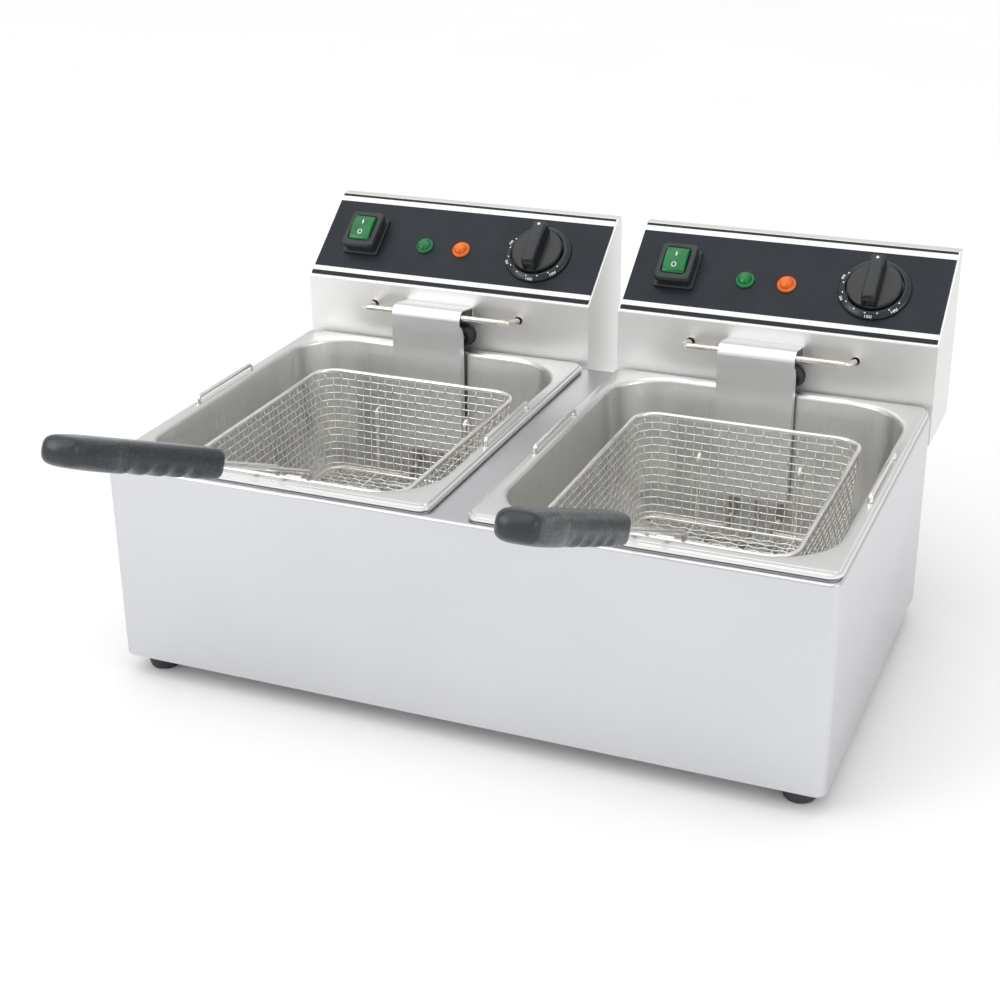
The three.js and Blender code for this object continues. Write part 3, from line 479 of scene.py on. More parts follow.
# ---- body

def make_body():
    half = (body_high - body_low) / 2
    centre = ((body_low + body_high) / 2)[:2]
    corner, bend_radius, sheet, lip = 9.0, 2.4, 1.2, 12.0
    floor = body_low[2]

    def ring(inset, z):
        return oval_ring(half[0] - inset, half[1] - inset, max(corner - inset, 0.6), z, 8, centre)

    rings = [ring(sheet, deck - sheet), ring(sheet, floor + sheet), ring(lip, floor + sheet)]
    rings += [ring(lip, floor), ring(1.0, floor), ring(0.3, floor + 0.3), ring(0, floor + 1.0)]
    for step in range(7):
        a = step / 6 * math.pi / 2
        inset = bend_radius * (1 - math.cos(a))
        rings.append(ring(inset, deck - bend_radius * (1 - math.sin(a))))
    body = loft("body_cabinet", rings, body_steel)
    cutters = []
    for side in SIDES:
        low, high = box_mm(f"tank_{side}")
        well = (high - low) / 2 - 3
        centre = ((low + high) / 2)[:2]
        mouth = [oval_ring(well[0], well[1], 20, z, 6, centre) for z in (deck - 5, deck + 5)]
        cutters.append(loft("mouth", mouth, body_steel))
    carve(body, cutters)
    place(body, "base", "body_steel", "body_shell")


def make_feet():
    for corner in ("front_left", "front_right", "rear_left", "rear_right"):
        low, high = box_mm(f"foot_{corner}")
        centre = ((low[0] + high[0]) / 2, (low[1] + high[1]) / 2, 0)
        top = body_low[2] - GAP
        profile = [(0, 0), (10.0, 0), (10.9, 0.35), (11.6, 1.2), (12.1, 2.4), (12.9, 6.0)]
        profile += [(13.55, 10.5), (13.6, top - 0.6), (13.2, top), (3, top), (3, high[2]), (0, high[2])]
        foot = lathe(f"foot_pad_{corner}", profile, rubber, centre)
        place(foot, "base", "rubber", f"foot_{corner}")


# ---- tanks

BAIL_RADIUS = 1.8
FLANGE_WIDTH = 12.0
WALL_DRAFT = 3.5


def make_tank(side):
    low, high = box_mm(f"tank_{side}")
    centre = ((low + high) / 2)[:2]
    half = ((high - low) / 2)[:2]
    plateau, floor = high[2], high[2] - 150
    opening_radius, sheet = 50.0, 1.0
    opening = half - FLANGE_WIDTH

    def edge_ring(inset, z):
        radius = 10 - min(inset, 3)
        return oval_ring(half[0] - inset, half[1] - inset, radius, z, 16, centre)

    def mouth_ring(grow, z):
        return oval_ring(opening[0] + grow, opening[1] + grow, opening_radius + grow, z, 16, centre)

    def wall_down(offset):
        """Grow and height from the wall's top to the floor, offset outwards for the outside."""
        fillet = 14.0
        points = [(offset - WALL_DRAFT, floor + fillet)]
        for step in range(1, 7):
            a = step / 6 * math.pi / 2
            grow = -WALL_DRAFT - fillet * (1 - math.cos(a)) + offset * math.cos(a)
            points.append((grow, floor + fillet * (1 - math.sin(a)) - offset * math.sin(a)))
        return points

    rings = [mouth_ring(grow, z) for grow, z in reversed(wall_down(sheet))]
    rings += [mouth_ring(sheet, plateau - 6), mouth_ring(3.4, plateau - 2.2)]
    rings.append(mouth_ring(5.5, plateau - sheet))
    lip = deck + 1.5
    rings += [edge_ring(inset, z) for inset, z in (
        (4.2, plateau - sheet), (3.6, plateau - 1.6), (3.4, deck + GAP), (2.6, deck + GAP),
        (2.3, lip), (0.4, lip), (0, lip + 0.4), (0, plateau - 3.0), (0.25, plateau - 2.3),
        (0.9, plateau - 1.95), (1.7, plateau - 1.9), (2.1, plateau - 1.7), (2.3, plateau - 1.1),
        (2.6, plateau - 0.35), (3.3, plateau),
    )]
    for step in range(7):
        a = step / 6 * math.radians(84)
        rings.append(mouth_ring(4.2 * (1 - math.sin(a)), plateau - 4.2 * (1 - math.cos(a))))
    rings += [mouth_ring(grow, z) for grow, z in wall_down(0)]
    tank = loft(f"tank_pan_{side}", rings, tank_steel, 50.0)
    cutters = []
    for bail in ("outer", "inner"):
        bail_low, bail_high = box_mm(f"tank_bail_{bail}_{side}")
        x = middle_x(f"tank_bail_{bail}_{side}")
        for y in (bail_low[1] + BAIL_RADIUS, bail_high[1] - BAIL_RADIUS):
            hole = [(2.2, plateau - 5), (2.2, plateau + 5)]
            cutters.append(lathe("hole", hole, tank_steel, (x, y, 0), 20))
    carve(tank, cutters)
    place(tank, f"tank_{side}", "tank_steel", f"tank_{side}")


def make_bails(side):
    for bail in ("outer", "inner"):
        low, high = box_mm(f"tank_bail_{bail}_{side}")
        x = (low[0] + high[0]) / 2
        r = BAIL_RADIUS
        near, far, foot, top = low[1] + r, high[1] - r, low[2] + r, high[2] - r
        corners = [(x, far - 7, foot), (x, far, foot), (x, far, top)]
        corners += [(x, near, top), (x, near, foot), (x, near + 7, foot)]
        line = bent(corners, 2.4, 5)
        normals = np.broadcast_to([1.0, 0, 0], line.shape)
        group = dict(lines=line, radius=r, sides=14, normals=normals)
        handle = tubes(f"bail_wire_{bail}_{side}", [group], bright_wire)
        place(handle, f"bail_{bail}_{side}", "wire_chrome", f"tank_bail_{bail}_{side}")


# ---- basket

PITCH = 7.1                    # spacing of the woven wires
WOVEN_RADIUS = 0.52
WAVE_LEVEL = 0.28              # swing of a level wire either side of the wall
WAVE_UPRIGHT = 0.78            # swing of an upright wire
SAMPLES = 4                    # points along a wire between two crossings


def along_oval(half_x, half_y, radius, share):
    """Points and outward normals at shares of the way round a rounded rectangle."""
    sides = (2 * (half_y - radius), math.pi / 2 * radius, 2 * (half_x - radius), math.pi / 2 * radius) * 2
    ends = np.cumsum(sides)
    s = np.asarray(share) % 1.0 * ends[-1]
    piece = np.searchsorted(ends, s, side="right").clip(0, 7)
    local = s - (ends - np.array(sides))[piece]
    quarter = piece // 2
    straight = piece % 2 == 0
    turn = (quarter + np.where(straight, 0, local / (math.pi / 2 * radius))) * math.pi / 2
    corner_x = np.array([1, -1, -1, 1])[quarter] * (half_x - radius)
    corner_y = np.array([1, 1, -1, -1])[quarter] * (half_y - radius)
    normal = np.stack([np.cos(turn), np.sin(turn)], -1)
    point = np.stack([corner_x, corner_y], -1) + normal * radius
    heading = np.stack([-np.sin(turn), np.cos(turn)], -1)
    length = np.array(sides)[piece]
    back = np.where(straight, local - length, 0)[..., None]
    return point + heading * back, normal


def make_basket_mesh(side):
    cage_low, cage_high = box_mm(f"basket_cage_{side}")
    rim_low, rim_high = box_mm(f"basket_rim_{side}")
    centre = ((cage_low + cage_high) / 2)[:2]
    half = ((cage_high - cage_low) / 2)[:2] - 0.7
    top = (rim_low[2] + rim_high[2]) / 2
    bottom = cage_low[2]
    corner, draft, turn_radius = 19.3, 4.0, 6.0
    perimeter = 2 * (2 * half.sum() - 4 * corner) + 2 * math.pi * corner
    uprights = int(round(perimeter / PITCH / 2)) * 2
    rows = 13
    height = top - bottom - turn_radius
    row_gap = height / rows

    def wall(share, drop):
        """Point and normal of the wall, drop millimetres below the rim along it."""
        drop = np.asarray(drop, float)
        straight = np.minimum(drop, height)
        a = np.clip((drop - height) / turn_radius, 0, math.pi / 2)
        inset = draft * straight / height + turn_radius * (1 - np.cos(a))
        z = top - straight - turn_radius * np.sin(a)
        point, normal = along_oval(half[0], half[1], corner, share)
        shrink = np.sign(point) * inset[..., None] * np.abs(normal)
        flat = point - shrink
        full = np.concatenate([flat + centre, z[..., None]], -1)
        lean = np.concatenate([normal * np.cos(a)[..., None], -np.sin(a)[..., None]], -1)
        return full, lean

    ring_share = np.arange(uprights * SAMPLES) / (uprights * SAMPLES)
    phase = ring_share * uprights
    groups = []
    for row in range(1, rows + 1):
        point, normal = wall(ring_share, np.full(ring_share.shape, row * row_gap))
        wave = WAVE_LEVEL * np.cos(math.pi * (phase + row))
        groups.append(dict(lines=point + normal * wave[:, None], radius=WOVEN_RADIUS, sides=6,
                           closed=True, normals=normal))
    end = height + turn_radius * math.pi / 2
    steps = np.arange(0, rows * SAMPLES + 1) / SAMPLES
    drops = np.concatenate([steps * row_gap, np.linspace(height, end, 5)[1:]])
    columns, leans = [], []
    for j in range(uprights):
        point, normal = wall(np.full(drops.shape, j / uprights), drops)
        wave = -WAVE_UPRIGHT * np.cos(math.pi * (drops / row_gap + j))
        fade = np.clip((height - drops) / row_gap, 0, 1)
        columns.append(point + normal * (wave * fade)[:, None])
        leans.append(normal)
    groups.append(dict(lines=np.array(columns), radius=WOVEN_RADIUS, sides=6, normals=np.array(leans)))
    ring, ring_normal = wall(ring_share[::2], np.full(ring_share[::2].shape, height + turn_radius * 0.9))
    groups.append(dict(lines=ring - ring_normal * 1.3, radius=1.25, sides=8, closed=True,
                       normals=ring_normal))
    mesh = tubes(f"basket_wall_mesh_{side}", groups, mesh_wire, 80.0)
    place(mesh, f"basket_{side}", "wire_chrome", f"basket_cage_{side}")

    reach = half - draft - turn_radius + 0.6
    corner_in = max(corner - turn_radius, 6)
    level = bottom + 0.9
    floor_groups = []
    for axis in (0, 1):
        other = 1 - axis
        count = int(round(2 * reach[other] / PITCH))
        gap = 2 * reach[other] / count
        spacing = 2 * reach[axis] / int(round(2 * reach[axis] / PITCH))
        for k in range(1, count):
            across = -reach[other] + k * gap
            past = max(abs(across) - (reach[other] - corner_in), 0)
            end_at = reach[axis] - corner_in + math.sqrt(max(corner_in ** 2 - past ** 2, 0))
            points = max(int(2 * end_at / spacing * SAMPLES), 4)
            s = np.linspace(-end_at, end_at, points)
            sign = 1 if axis else -1
            wave = sign * WOVEN_RADIUS * np.cos(math.pi * ((s + reach[axis]) / spacing + k))
            line = np.zeros((points, 3))
            line[:, axis] = centre[axis] + s
            line[:, other] = centre[other] + across
            line[:, 2] = level + wave
            floor_groups.append(dict(lines=line, radius=WOVEN_RADIUS, sides=6,
                                     normals=np.broadcast_to([0, 0, 1.0], line.shape)))
    floor = tubes(f"basket_floor_mesh_{side}", floor_groups, mesh_wire, 80.0)
    place(floor, f"basket_{side}", "wire_chrome")


HOOK_HALF = 42.0               # half the spacing of the two hooks
HOOK_GAP = 6.2                 # room between a hook's legs
HOOK_DROP = 16.0               # from a hook's crown to its tip


def make_basket_wires(side):
    low, high = box_mm(f"basket_rim_{side}")
    centre = (low + high) / 2
    radius = (high[2] - low[2]) / 2
    half = (high - low)[:2] / 2 - radius
    share = np.arange(160) / 160
    point, _ = along_oval(half[0], half[1], 20, share)
    line = np.concatenate([point + centre[:2], np.full((len(share), 1), centre[2])], -1)
    up = np.broadcast_to([0, 0, 1.0], line.shape)
    group = dict(lines=line, radius=radius, sides=14, closed=True, normals=up)
    rim = tubes(f"basket_rim_wire_{side}", [group], bright_wire)
    place(rim, f"basket_{side}", "wire_chrome", f"basket_rim_{side}")

    low, high = box_mm(f"basket_hook_{side}")
    r = 1.7
    middle = (low[0] + high[0]) / 2
    tip = high[1] - r
    leg = tip - 2 * r - HOOK_GAP
    crown, under, front = high[2] - r, low[2] + r, low[1] + r
    corners = []
    for sign, order in ((-1, 1), (1, -1)):
        x = middle + sign * HOOK_HALF
        strand = ((tip, crown - HOOK_DROP), (tip, crown), (leg, crown), (leg, under), (front, under))
        corners += [(x, y, z) for y, z in strand[::order]]
    hook = wire(f"basket_hook_wire_{side}", corners, 4.7, 6, r, 12, bright_wire)
    place(hook, f"basket_{side}", "wire_chrome", f"basket_hook_{side}")


# ---- basket handle

RISE = math.radians(23.6)
WIRE_TO_GRIP = 120.0
GRIP_SOCKET = 24.0
GRIP_LENGTH = 182.0
HANDLE_BASE_HALF = 13.5
HANDLE_GRIP_HALF = 6.2
HANDLE_RADIUS = 1.9


def handle_frame(side):
    """Hinge point and knee point of a basket's handle."""
    hinge = joint_point(f"handle_fold_{side}") / MM
    rim_low, rim_high = box_mm(f"basket_rim_{side}")
    front = rim_low[1] + 2
    rim = (rim_low[2] + rim_high[2]) / 2
    knee = np.array([hinge[0], front + 5.5, rim + 5.6])
    return hinge, knee


def along_handle(knee, distance):
    return knee + np.array([0, -math.cos(RISE), math.sin(RISE)]) * distance


def make_handle_wire(side):
    hinge, knee = handle_frame(side)
    end = along_handle(knee, WIRE_TO_GRIP + GRIP_SOCKET - 1)
    base, tip = np.array([HANDLE_BASE_HALF, 0, 0]), np.array([HANDLE_GRIP_HALF, 0, 0])
    corners = [end - tip, knee - base, hinge - base, hinge + base, knee + base, end + tip]
    strand = wire(f"handle_wire_{side}", corners, 3.6, 7, HANDLE_RADIUS, 16, bright_wire)
    place(strand, f"handle_{side}", "wire_chrome", f"basket_handle_wire_{side}")


def make_clip(side):
    hinge, _ = handle_frame(side)
    low, high = box_mm(f"basket_handle_clip_{side}")
    y, z = hinge[1], hinge[2]
    inner, outer = HANDLE_RADIUS + GAP, HANDLE_RADIUS + GAP + 1
    back = y - outer
    angles = np.radians(np.linspace(180, -150, 25))
    turn = [(y + outer * math.cos(a), z + outer * math.sin(a)) for a in angles]
    angles = np.radians(np.linspace(-150, 180, 25))
    inside = [(y + inner * math.cos(a), z + inner * math.sin(a)) for a in angles]
    outline = [(back, low[2]), *turn, *inside, (back + 1, low[2])]
    clip = prism(f"handle_clip_{side}", outline, low[0], high[0], bright_wire)
    rounded(clip, 0.25, 2)
    place(clip, f"basket_{side}", "wire_chrome", f"basket_handle_clip_{side}")


GRIP_STATIONS = (
    # share of the length, half width, half depth above, half depth below, corner share
    (0.000, 9.6, 9.4, 9.4, 0.62),
    (0.006, 10.5, 10.3, 10.3, 0.56),
    (0.016, 11.1, 10.8, 10.8, 0.52),
    (0.040, 11.4, 11.1, 11.1, 0.50),
    (0.300, 11.6, 11.1, 11.2, 0.50),
    (0.600, 11.7, 10.9, 11.0, 0.50),
    (0.680, 11.9, 10.9, 11.0, 0.48),
    (0.715, 12.6, 10.9, 10.9, 0.46),
    (0.750, 13.7, 10.8, 10.8, 0.44),
    (0.800, 14.3, 10.8, 10.6, 0.44),
    (0.880, 14.5, 10.6, 10.3, 0.46),
    (0.950, 14.1, 10.0, 9.7, 0.52),
    (0.975, 13.3, 9.3, 9.0, 0.58),
    (0.990, 11.6, 7.9, 7.7, 0.66),
    (1.000, 9.2, 5.9, 5.8, 0.72),
)


def grip_section(share):
    """Half width, upper and lower half depth and corner share at a share of the length."""
    table = np.array(GRIP_STATIONS)
    return [np.interp(share, table[:, 0], table[:, column]) for column in range(1, 5)]


def make_grip(side):
    _, knee = handle_frame(side)
    around, rings = 48, []
    spans = ((0, 0.05, 7), (0.06, 0.93, 110), (0.94, 1, 16))
    shares = np.concatenate([np.linspace(*span) for span in spans])
    along = np.array([0, -math.cos(RISE), math.sin(RISE)])
    up = np.array([0, math.sin(RISE), math.cos(RISE)])
    across = np.array([1.0, 0, 0])
    start = along_handle(knee, WIRE_TO_GRIP)
    for share in shares:
        width, above, below, roundness = grip_section(share)
        scallop = 0.0
        if 0.16 < share < 0.66:
            phase = (share - 0.16) / 0.5 * 4
            scallop = math.sin(math.pi * phase) ** 2
        ring = []
        for k in range(around):
            a = k / around * 2 * math.pi
            c, s = math.cos(a), math.sin(a)
            power = 2 + 3.2 * (1 - roundness)
            r = (abs(c) ** power + abs(s) ** power) ** (-1 / power)
            x = width * r * c
            y = (above if s > 0 else below) * r * s
            if s < -0.15:
                bite = min((-s - 0.15) / 0.5, 1) * scallop
                y += 1.8 * bite
                x *= 1 - 0.10 * bite
            seam = math.exp(-(y / 0.45) ** 2) * 0.14 if share > 0.01 else 0
            x += math.copysign(seam, c)
            ring.append(start + along * share * GRIP_LENGTH + across * x + up * y)
        rings.append(ring)
    grip = loft(f"grip_{side}", rings, grip_plastic, 60.0)
    cutters = []
    for sign in (-1, 1):
        spread = (HANDLE_BASE_HALF - HANDLE_GRIP_HALF) / (WIRE_TO_GRIP + GRIP_SOCKET)
        mouth = start + across * sign * (HANDLE_GRIP_HALF + spread * GRIP_SOCKET)
        tilt = math.atan(spread)
        heading = along * math.cos(tilt) - across * sign * math.sin(tilt)
        line = np.array([mouth - heading * 8, mouth + heading * (GRIP_SOCKET + 1)])
        verts, faces = tube_arrays(line, HANDLE_RADIUS + GAP, 20)
        cutters.append(new_piece("socket", verts, faces, grip_plastic))
    carve(grip, cutters)
    grip.data.set_sharp_from_angle(angle=math.radians(55))
    place(grip, f"handle_{side}", "grip_plastic", f"basket_grip_{side}")


# ---- element, cover plate and rod

ELEMENT_REACH = 25.5           # how far its uprights stand off the head
ELEMENT_CLEARANCE = 27         # from the tank's rear wall to the coil


def make_element(side):
    low, high = box_mm(f"heating_element_{side}")
    r = 3.25
    x = (low[0] + high[0]) / 2
    outer = (high[0] - low[0]) / 2 - r
    inner, leg = outer / 3, 20.0
    level, exit_z = low[2] + r, high[2] - r
    front = low[1] + r
    end = high[1]
    upright = head_front - ELEMENT_REACH
    _, tank_high = box_mm(f"tank_{side}")
    rear = tank_high[1] - FLANGE_WIDTH - WALL_DRAFT - ELEMENT_CLEARANCE
    shape = [(-leg, end, exit_z), (-leg, upright, exit_z), (-leg, upright, level), (-leg, rear, level)]
    shape += [(-outer, rear, level), (-outer, front, level), (-inner, front, level)]
    shape.append((-inner, rear - 22, level))
    mirrored = [(-a, b, c) for a, b, c in reversed(shape)]
    corners = [(x + a, b, c) for a, b, c in shape + mirrored]
    tube = wire(f"element_tube_{side}", corners, 8, 8, r, 16, tube_metal)
    place(tube, f"head_{side}", "tube_steel", f"heating_element_{side}")


COVER_SAG = 0.85               # the rounded top is this much lower than its corner
COVER_RETURN_RISE = 33         # above the deck, as are the rod's front and root
ROD_RISE = 40
ROD_ROOT_RISE = 35
ROD_REACH = 25                 # how far the rod stands off the head


def make_cover(side):
    low, high = box_mm(f"element_cover_{side}")
    sheet = 1.0
    back, front = head_front - GAP - sheet / 2, low[1] + sheet / 2
    top, fall, tab = high[2] - sheet / 2 + COVER_SAG, 4.4, 11
    line = [(back, top - fall - tab), (back, top - fall), (front, top), (front, low[2])]
    outline = sheet_outline(line, sheet, [2.4, 8.0], 10)
    plate = prism(f"cover_plate_{side}", outline, low[0], high[0], cover_steel)
    end = deck + COVER_RETURN_RISE
    angles = np.linspace(0, 1.5, 9)
    curve = [(low[1] + 9 * math.cos(a), end - 14 + 14 * math.sin(a)) for a in angles]
    outline = [(low[1] + 0.2, low[2]), (low[1] + 9, low[2]), *curve]
    returns = [prism("return", outline, x, x + sheet, cover_steel) for x in (low[0], high[0] - sheet)]
    combined(plate, returns, "UNION")
    rounded(plate, 0.22, 2)
    place(plate, f"head_{side}", "cover_steel", f"element_cover_{side}")


def make_rod(side):
    low, high = box_mm(f"hanging_rod_{side}")
    r = 2.5
    x_low, x_high = low[0] + r, high[0] - r
    near, back = head_front - ROD_REACH, head_front + 8
    front_z = deck + ROD_RISE
    back_z = front_z - (ROD_RISE - ROD_ROOT_RISE) / ROD_REACH * (back - near)
    corners = [(x_low, back, back_z), (x_low, near, front_z)]
    corners += [(x_high, near, front_z), (x_high, back, back_z)]
    rod = wire(f"rod_{side}", corners, 8, 10, r, 20, rod_chrome)
    place(rod, f"head_{side}", "wire_chrome", f"hanging_rod_{side}")


# ---- control heads

BEND_Z = 233.0
TOP_DEPTH = 9.8
SHEET = 1.2
slope_run = head_back - head_front - TOP_DEPTH
slope_rise = head_high[2] - BEND_Z
slope_angle = math.atan2(slope_rise, slope_run)
slope_length = math.hypot(slope_run, slope_rise)
panel_up = Vector((0, math.cos(slope_angle), math.sin(slope_angle)))
panel_out = Vector((0, -math.sin(slope_angle), math.cos(slope_angle)))


def panel_matrix(x):
    """Panel frame at a distance along X: +Y up the slope, +Z out of it, origin mid-slope."""
    matrix = Matrix.Identity(4)
    matrix.col[1][:3] = panel_up
    matrix.col[2][:3] = panel_out
    matrix.translation = Vector((x, head_front + slope_run / 2, BEND_Z + slope_rise / 2)) * MM
    return matrix


def onto_panel(piece, x):
    piece.data.transform(panel_matrix(x))
    return piece


def head_outline(inset, steps=8):
    front, top, bottom = head_front + inset, head_high[2] - inset, head_low[2]
    back = head_back
    lean = inset * math.tan(slope_angle / 2)
    corners = [(front, bottom, 0), (front, BEND_Z - lean, 0)]
    corners += [(back - TOP_DEPTH + lean, top, 0), (back, top, 0)]
    return [tuple(p[:2]) for p in bent(corners, 3 - inset, steps)]


def make_head(side):
    low, high = box_mm(f"head_shell_{side}")
    outer = head_outline(0) + [(head_back, head_low[2])]
    shell = prism(f"head_case_{side}", outer, low[0], high[0], head_steel_painted_lighter, 20.0)
    inner = head_outline(SHEET) + [(head_back + 5, head_high[2] - SHEET), (head_back + 5, head_low[2] - 5),
                                   (head_front + SHEET, head_low[2] - 5)]
    hollow = prism("hollow", inner, low[0] + SHEET, high[0] - SHEET, head_steel_painted_lighter)
    cutters = [hollow]
    middle = (low[0] + high[0]) / 2
    for offset in (-69, 69):
        hole = lathe("hole", [(3.5, -6), (3.5, 6)], head_steel_painted_lighter, steps=24)
        hole.data.transform(turned_to((middle + offset, head_front, deck + ROD_ROOT_RISE), math.pi / 2))
        cutters.append(hole)
    slot_low, slot_high = box_mm(f"element_seal_{side}")
    slot_z = (slot_low[2] + slot_high[2]) / 2
    rings = [[(x, z, y) for x, z, y in oval_ring(26.3, 6.3, 6, y, 8)] for y in (-6, 6)]
    slot = loft("slot", rings, head_steel_painted_lighter)
    slot.data.transform(turned_to((middle, head_front, slot_z), math.pi / 2))
    cutters.append(slot)
    carve(shell, cutters)
    rounded(shell, 0.3, 2, 50.0)
    place(shell, f"head_{side}", "body_steel", f"head_shell_{side}")


LABEL_BANDS = (
    # distance up the slope from the bend, material at the end of each band
    (2.1, None), (6.0, "line"), (10.9, "white"), (84.5, "film"), (89.8, "white"), (92.4, "line"),
)


def make_label(side):
    low, high = box_mm(f"control_label_{side}")
    looks = {"line": 0, "white": 1, "film": 2}
    x_low, x_high = low[0], high[0]
    middle = (x_low + x_high) / 2
    half = (x_high - x_low) / 2
    bottom, top = GAP, GAP + 0.5
    stations = [s - slope_length / 2 for s, _ in LABEL_BANDS]
    verts, faces, slots = [], [], []
    for y in stations:
        verts += [(-half, y, bottom), (half, y, bottom), (half, y, top), (-half, y, top)]
    for band in range(len(stations) - 1):
        a, b = band * 4, band * 4 + 4
        look = looks[LABEL_BANDS[band + 1][1]]
        for i in range(4):
            j = (i + 1) % 4
            faces.append((a + j, a + i, b + i, b + j))
            slots.append(look)
    faces += [(0, 1, 2, 3), tuple(len(verts) - 4 + k for k in (3, 2, 1, 0))]
    slots += [0, 0]
    label = new_piece(f"label_{side}", verts, faces, [label_line, label_white, label_film], 20.0, slots)
    onto_panel(label, middle)
    place(label, f"head_{side}", "label_black", f"control_label_{side}")


PANEL = GAP + 0.5 + GAP        # height of the controls' undersides above the panel


def oval_stack(name, tiers, material, steps=6):
    """A moulding through level rounded rectangles: (half x, half y, radius, height)."""
    rings = [oval_ring(a, b, r, z, steps) for a, b, r, z in tiers]
    return loft(name, rings, material, 35.0)


def make_switch(side):
    p = PANEL
    tiers = [
        (10.5, 13, 1, -24), (10.5, 13, 1, p), (17, 20, 2.6, p), (17, 20, 2.6, p + 2.2),
        (16.2, 19.2, 2.4, p + 3), (14.6, 17.6, 3.4, p + 3.1), (14.2, 17.2, 3.4, p + 6.0),
        (15.4, 18.4, 4.2, p + 6.8), (15.8, 18.8, 4.4, p + 8.2), (15.6, 18.6, 4.6, p + 11),
        (14.8, 17.8, 4.8, p + 12.6), (13.6, 16.6, 4.6, p + 13), (12.4, 15.2, 4.2, p + 13.2),
        (11.2, 13.9, 3.8, p + 13.1), (10.4, 13.0, 3.2, p + 12.2), (10.2, 12.8, 3.0, p + 11.0),
        (10.2, 12.8, 3.0, p + 3.7),
    ]
    housing = oval_stack(f"switch_boot_{side}", tiers, boot_black)
    onto_panel(housing, middle_x(f"switch_housing_{side}"))
    place(housing, f"head_{side}", "gloss_black", f"switch_housing_{side}")


ROCKER_TILT = math.radians(6)  # the rest position leans off the panel by this


def make_rocker(side):
    pivot = Matrix.Translation(Vector(joint_point(f"switch_rock_{side}")))
    half_x, half_y, shoulder, crown = 9.6, 11.9, 5.6, 2.4
    outline = [(-half_y, -2.4), (half_y, -2.4), (half_y, shoulder)]
    arc = np.linspace(0.2, math.pi - 0.2, 17)
    outline += [(half_y * math.cos(a), shoulder + crown * math.sin(a)) for a in arc]
    outline += [(-half_y, shoulder)]
    rocker = prism(f"rocker_{side}", outline, -half_x, half_x, green_lens, 30.0)
    rounded(rocker, 1.5, 4, 40.0)
    height = shoulder + crown + 0.2
    bar = block("mark_on", (-0.55, 3.4, height - 0.9), (0.55, 7.0, height - 0.3), print_white)
    angles = np.linspace(0, 2 * math.pi, 33)[:-1]
    ring = [(1.8 * math.cos(a), -4.9 + 2.1 * math.sin(a), height - 0.55) for a in angles]
    normals = np.array([[0, 0, 1.0]] * 32)
    verts, faces = tube_arrays(np.array(ring), 0.42, 8, closed=True, normals=normals)
    circle_mark = new_piece("mark_off", verts, faces, print_white, 60.0)
    whole = joined([rocker, bar, circle_mark], f"rocker_cap_{side}")
    whole.data.transform(pivot @ Matrix.Rotation(slope_angle + ROCKER_TILT, 4, "X"))
    place(whole, f"rocker_{side}", "green_lens", f"switch_rocker_{side}")


def make_lamp(side, kind, material, slot):
    p = PANEL
    facets, below_middle = 12, (0, -4, 0)
    profile = [(0, -20), (4.8, -20), (4.8, p), (7.9, p), (8.0, p + 0.4), (7.8, p + 1.4), (7.2, p + 2.0),
               (6.6, p + 2.2), (6.2, p + 2.3)]
    bezel = lathe(f"lamp_bezel_{kind}_{side}", profile + [(0, p + 2.3)], material, below_middle, 48)
    dome = [(6.1, p + 2.31), (5.9, p + 3.3), (4.9, p + 4.7), (3.0, p + 5.7), (0.0, p + 6.0)]
    cap = lathe("cap", [(0, p + 2.31), *dome], material, below_middle, facets, 12.0)
    whole = joined([bezel, cap], f"lamp_{kind}_{side}")
    whole.data.set_sharp_from_angle(angle=math.radians(14))
    onto_panel(whole, middle_x(f"{kind}_lamp_{side}"))
    place(whole, f"head_{side}", slot, f"{kind}_lamp_{side}")


DIGITS = {
    # strokes on a 2 by 4 grid of unit steps
    "0": ((0, 0, 2, 0), (2, 0, 2, 4), (2, 4, 0, 4), (0, 4, 0, 0)),
    "1": ((1, 0, 1, 4),),
    "2": ((0, 4, 2, 4), (2, 4, 2, 2), (2, 2, 0, 2), (0, 2, 0, 0), (0, 0, 2, 0)),
    "6": ((2, 4, 0, 4), (0, 4, 0, 0), (0, 0, 2, 0), (2, 0, 2, 2), (2, 2, 0, 2)),
    "9": ((0, 0, 2, 0), (2, 0, 2, 4), (2, 4, 0, 4), (0, 4, 0, 2), (0, 2, 2, 2)),
}


def stroke(a, b, width, bottom, top):
    """A flat bar between two points of the panel frame."""
    a, b = np.array(a, float), np.array(b, float)
    along = (b - a) / np.linalg.norm(b - a)
    side = np.array([-along[1], along[0]]) * width / 2
    along = along * width / 2
    corners = [a - along - side, b + along - side, b + along + side, a - along + side]
    return loft_arrays([[(*c, z) for c in corners] for z in (bottom, top)])


def collected(name, shapes, material, sharp_angle=35.0):
    verts, faces, offset = [], [], 0
    for shape_verts, shape_faces in shapes:
        verts += list(shape_verts)
        faces += [[offset + i for i in face] for face in shape_faces]
        offset += len(shape_verts)
    return new_piece(name, verts, faces, material, sharp_angle)


def dial_height(radius):
    """Height of the dial's sloping face above the panel at a radius."""
    return PANEL + np.interp(radius, (24.6, 28.1, 29.5), (4.6, 2.6, 1.0))


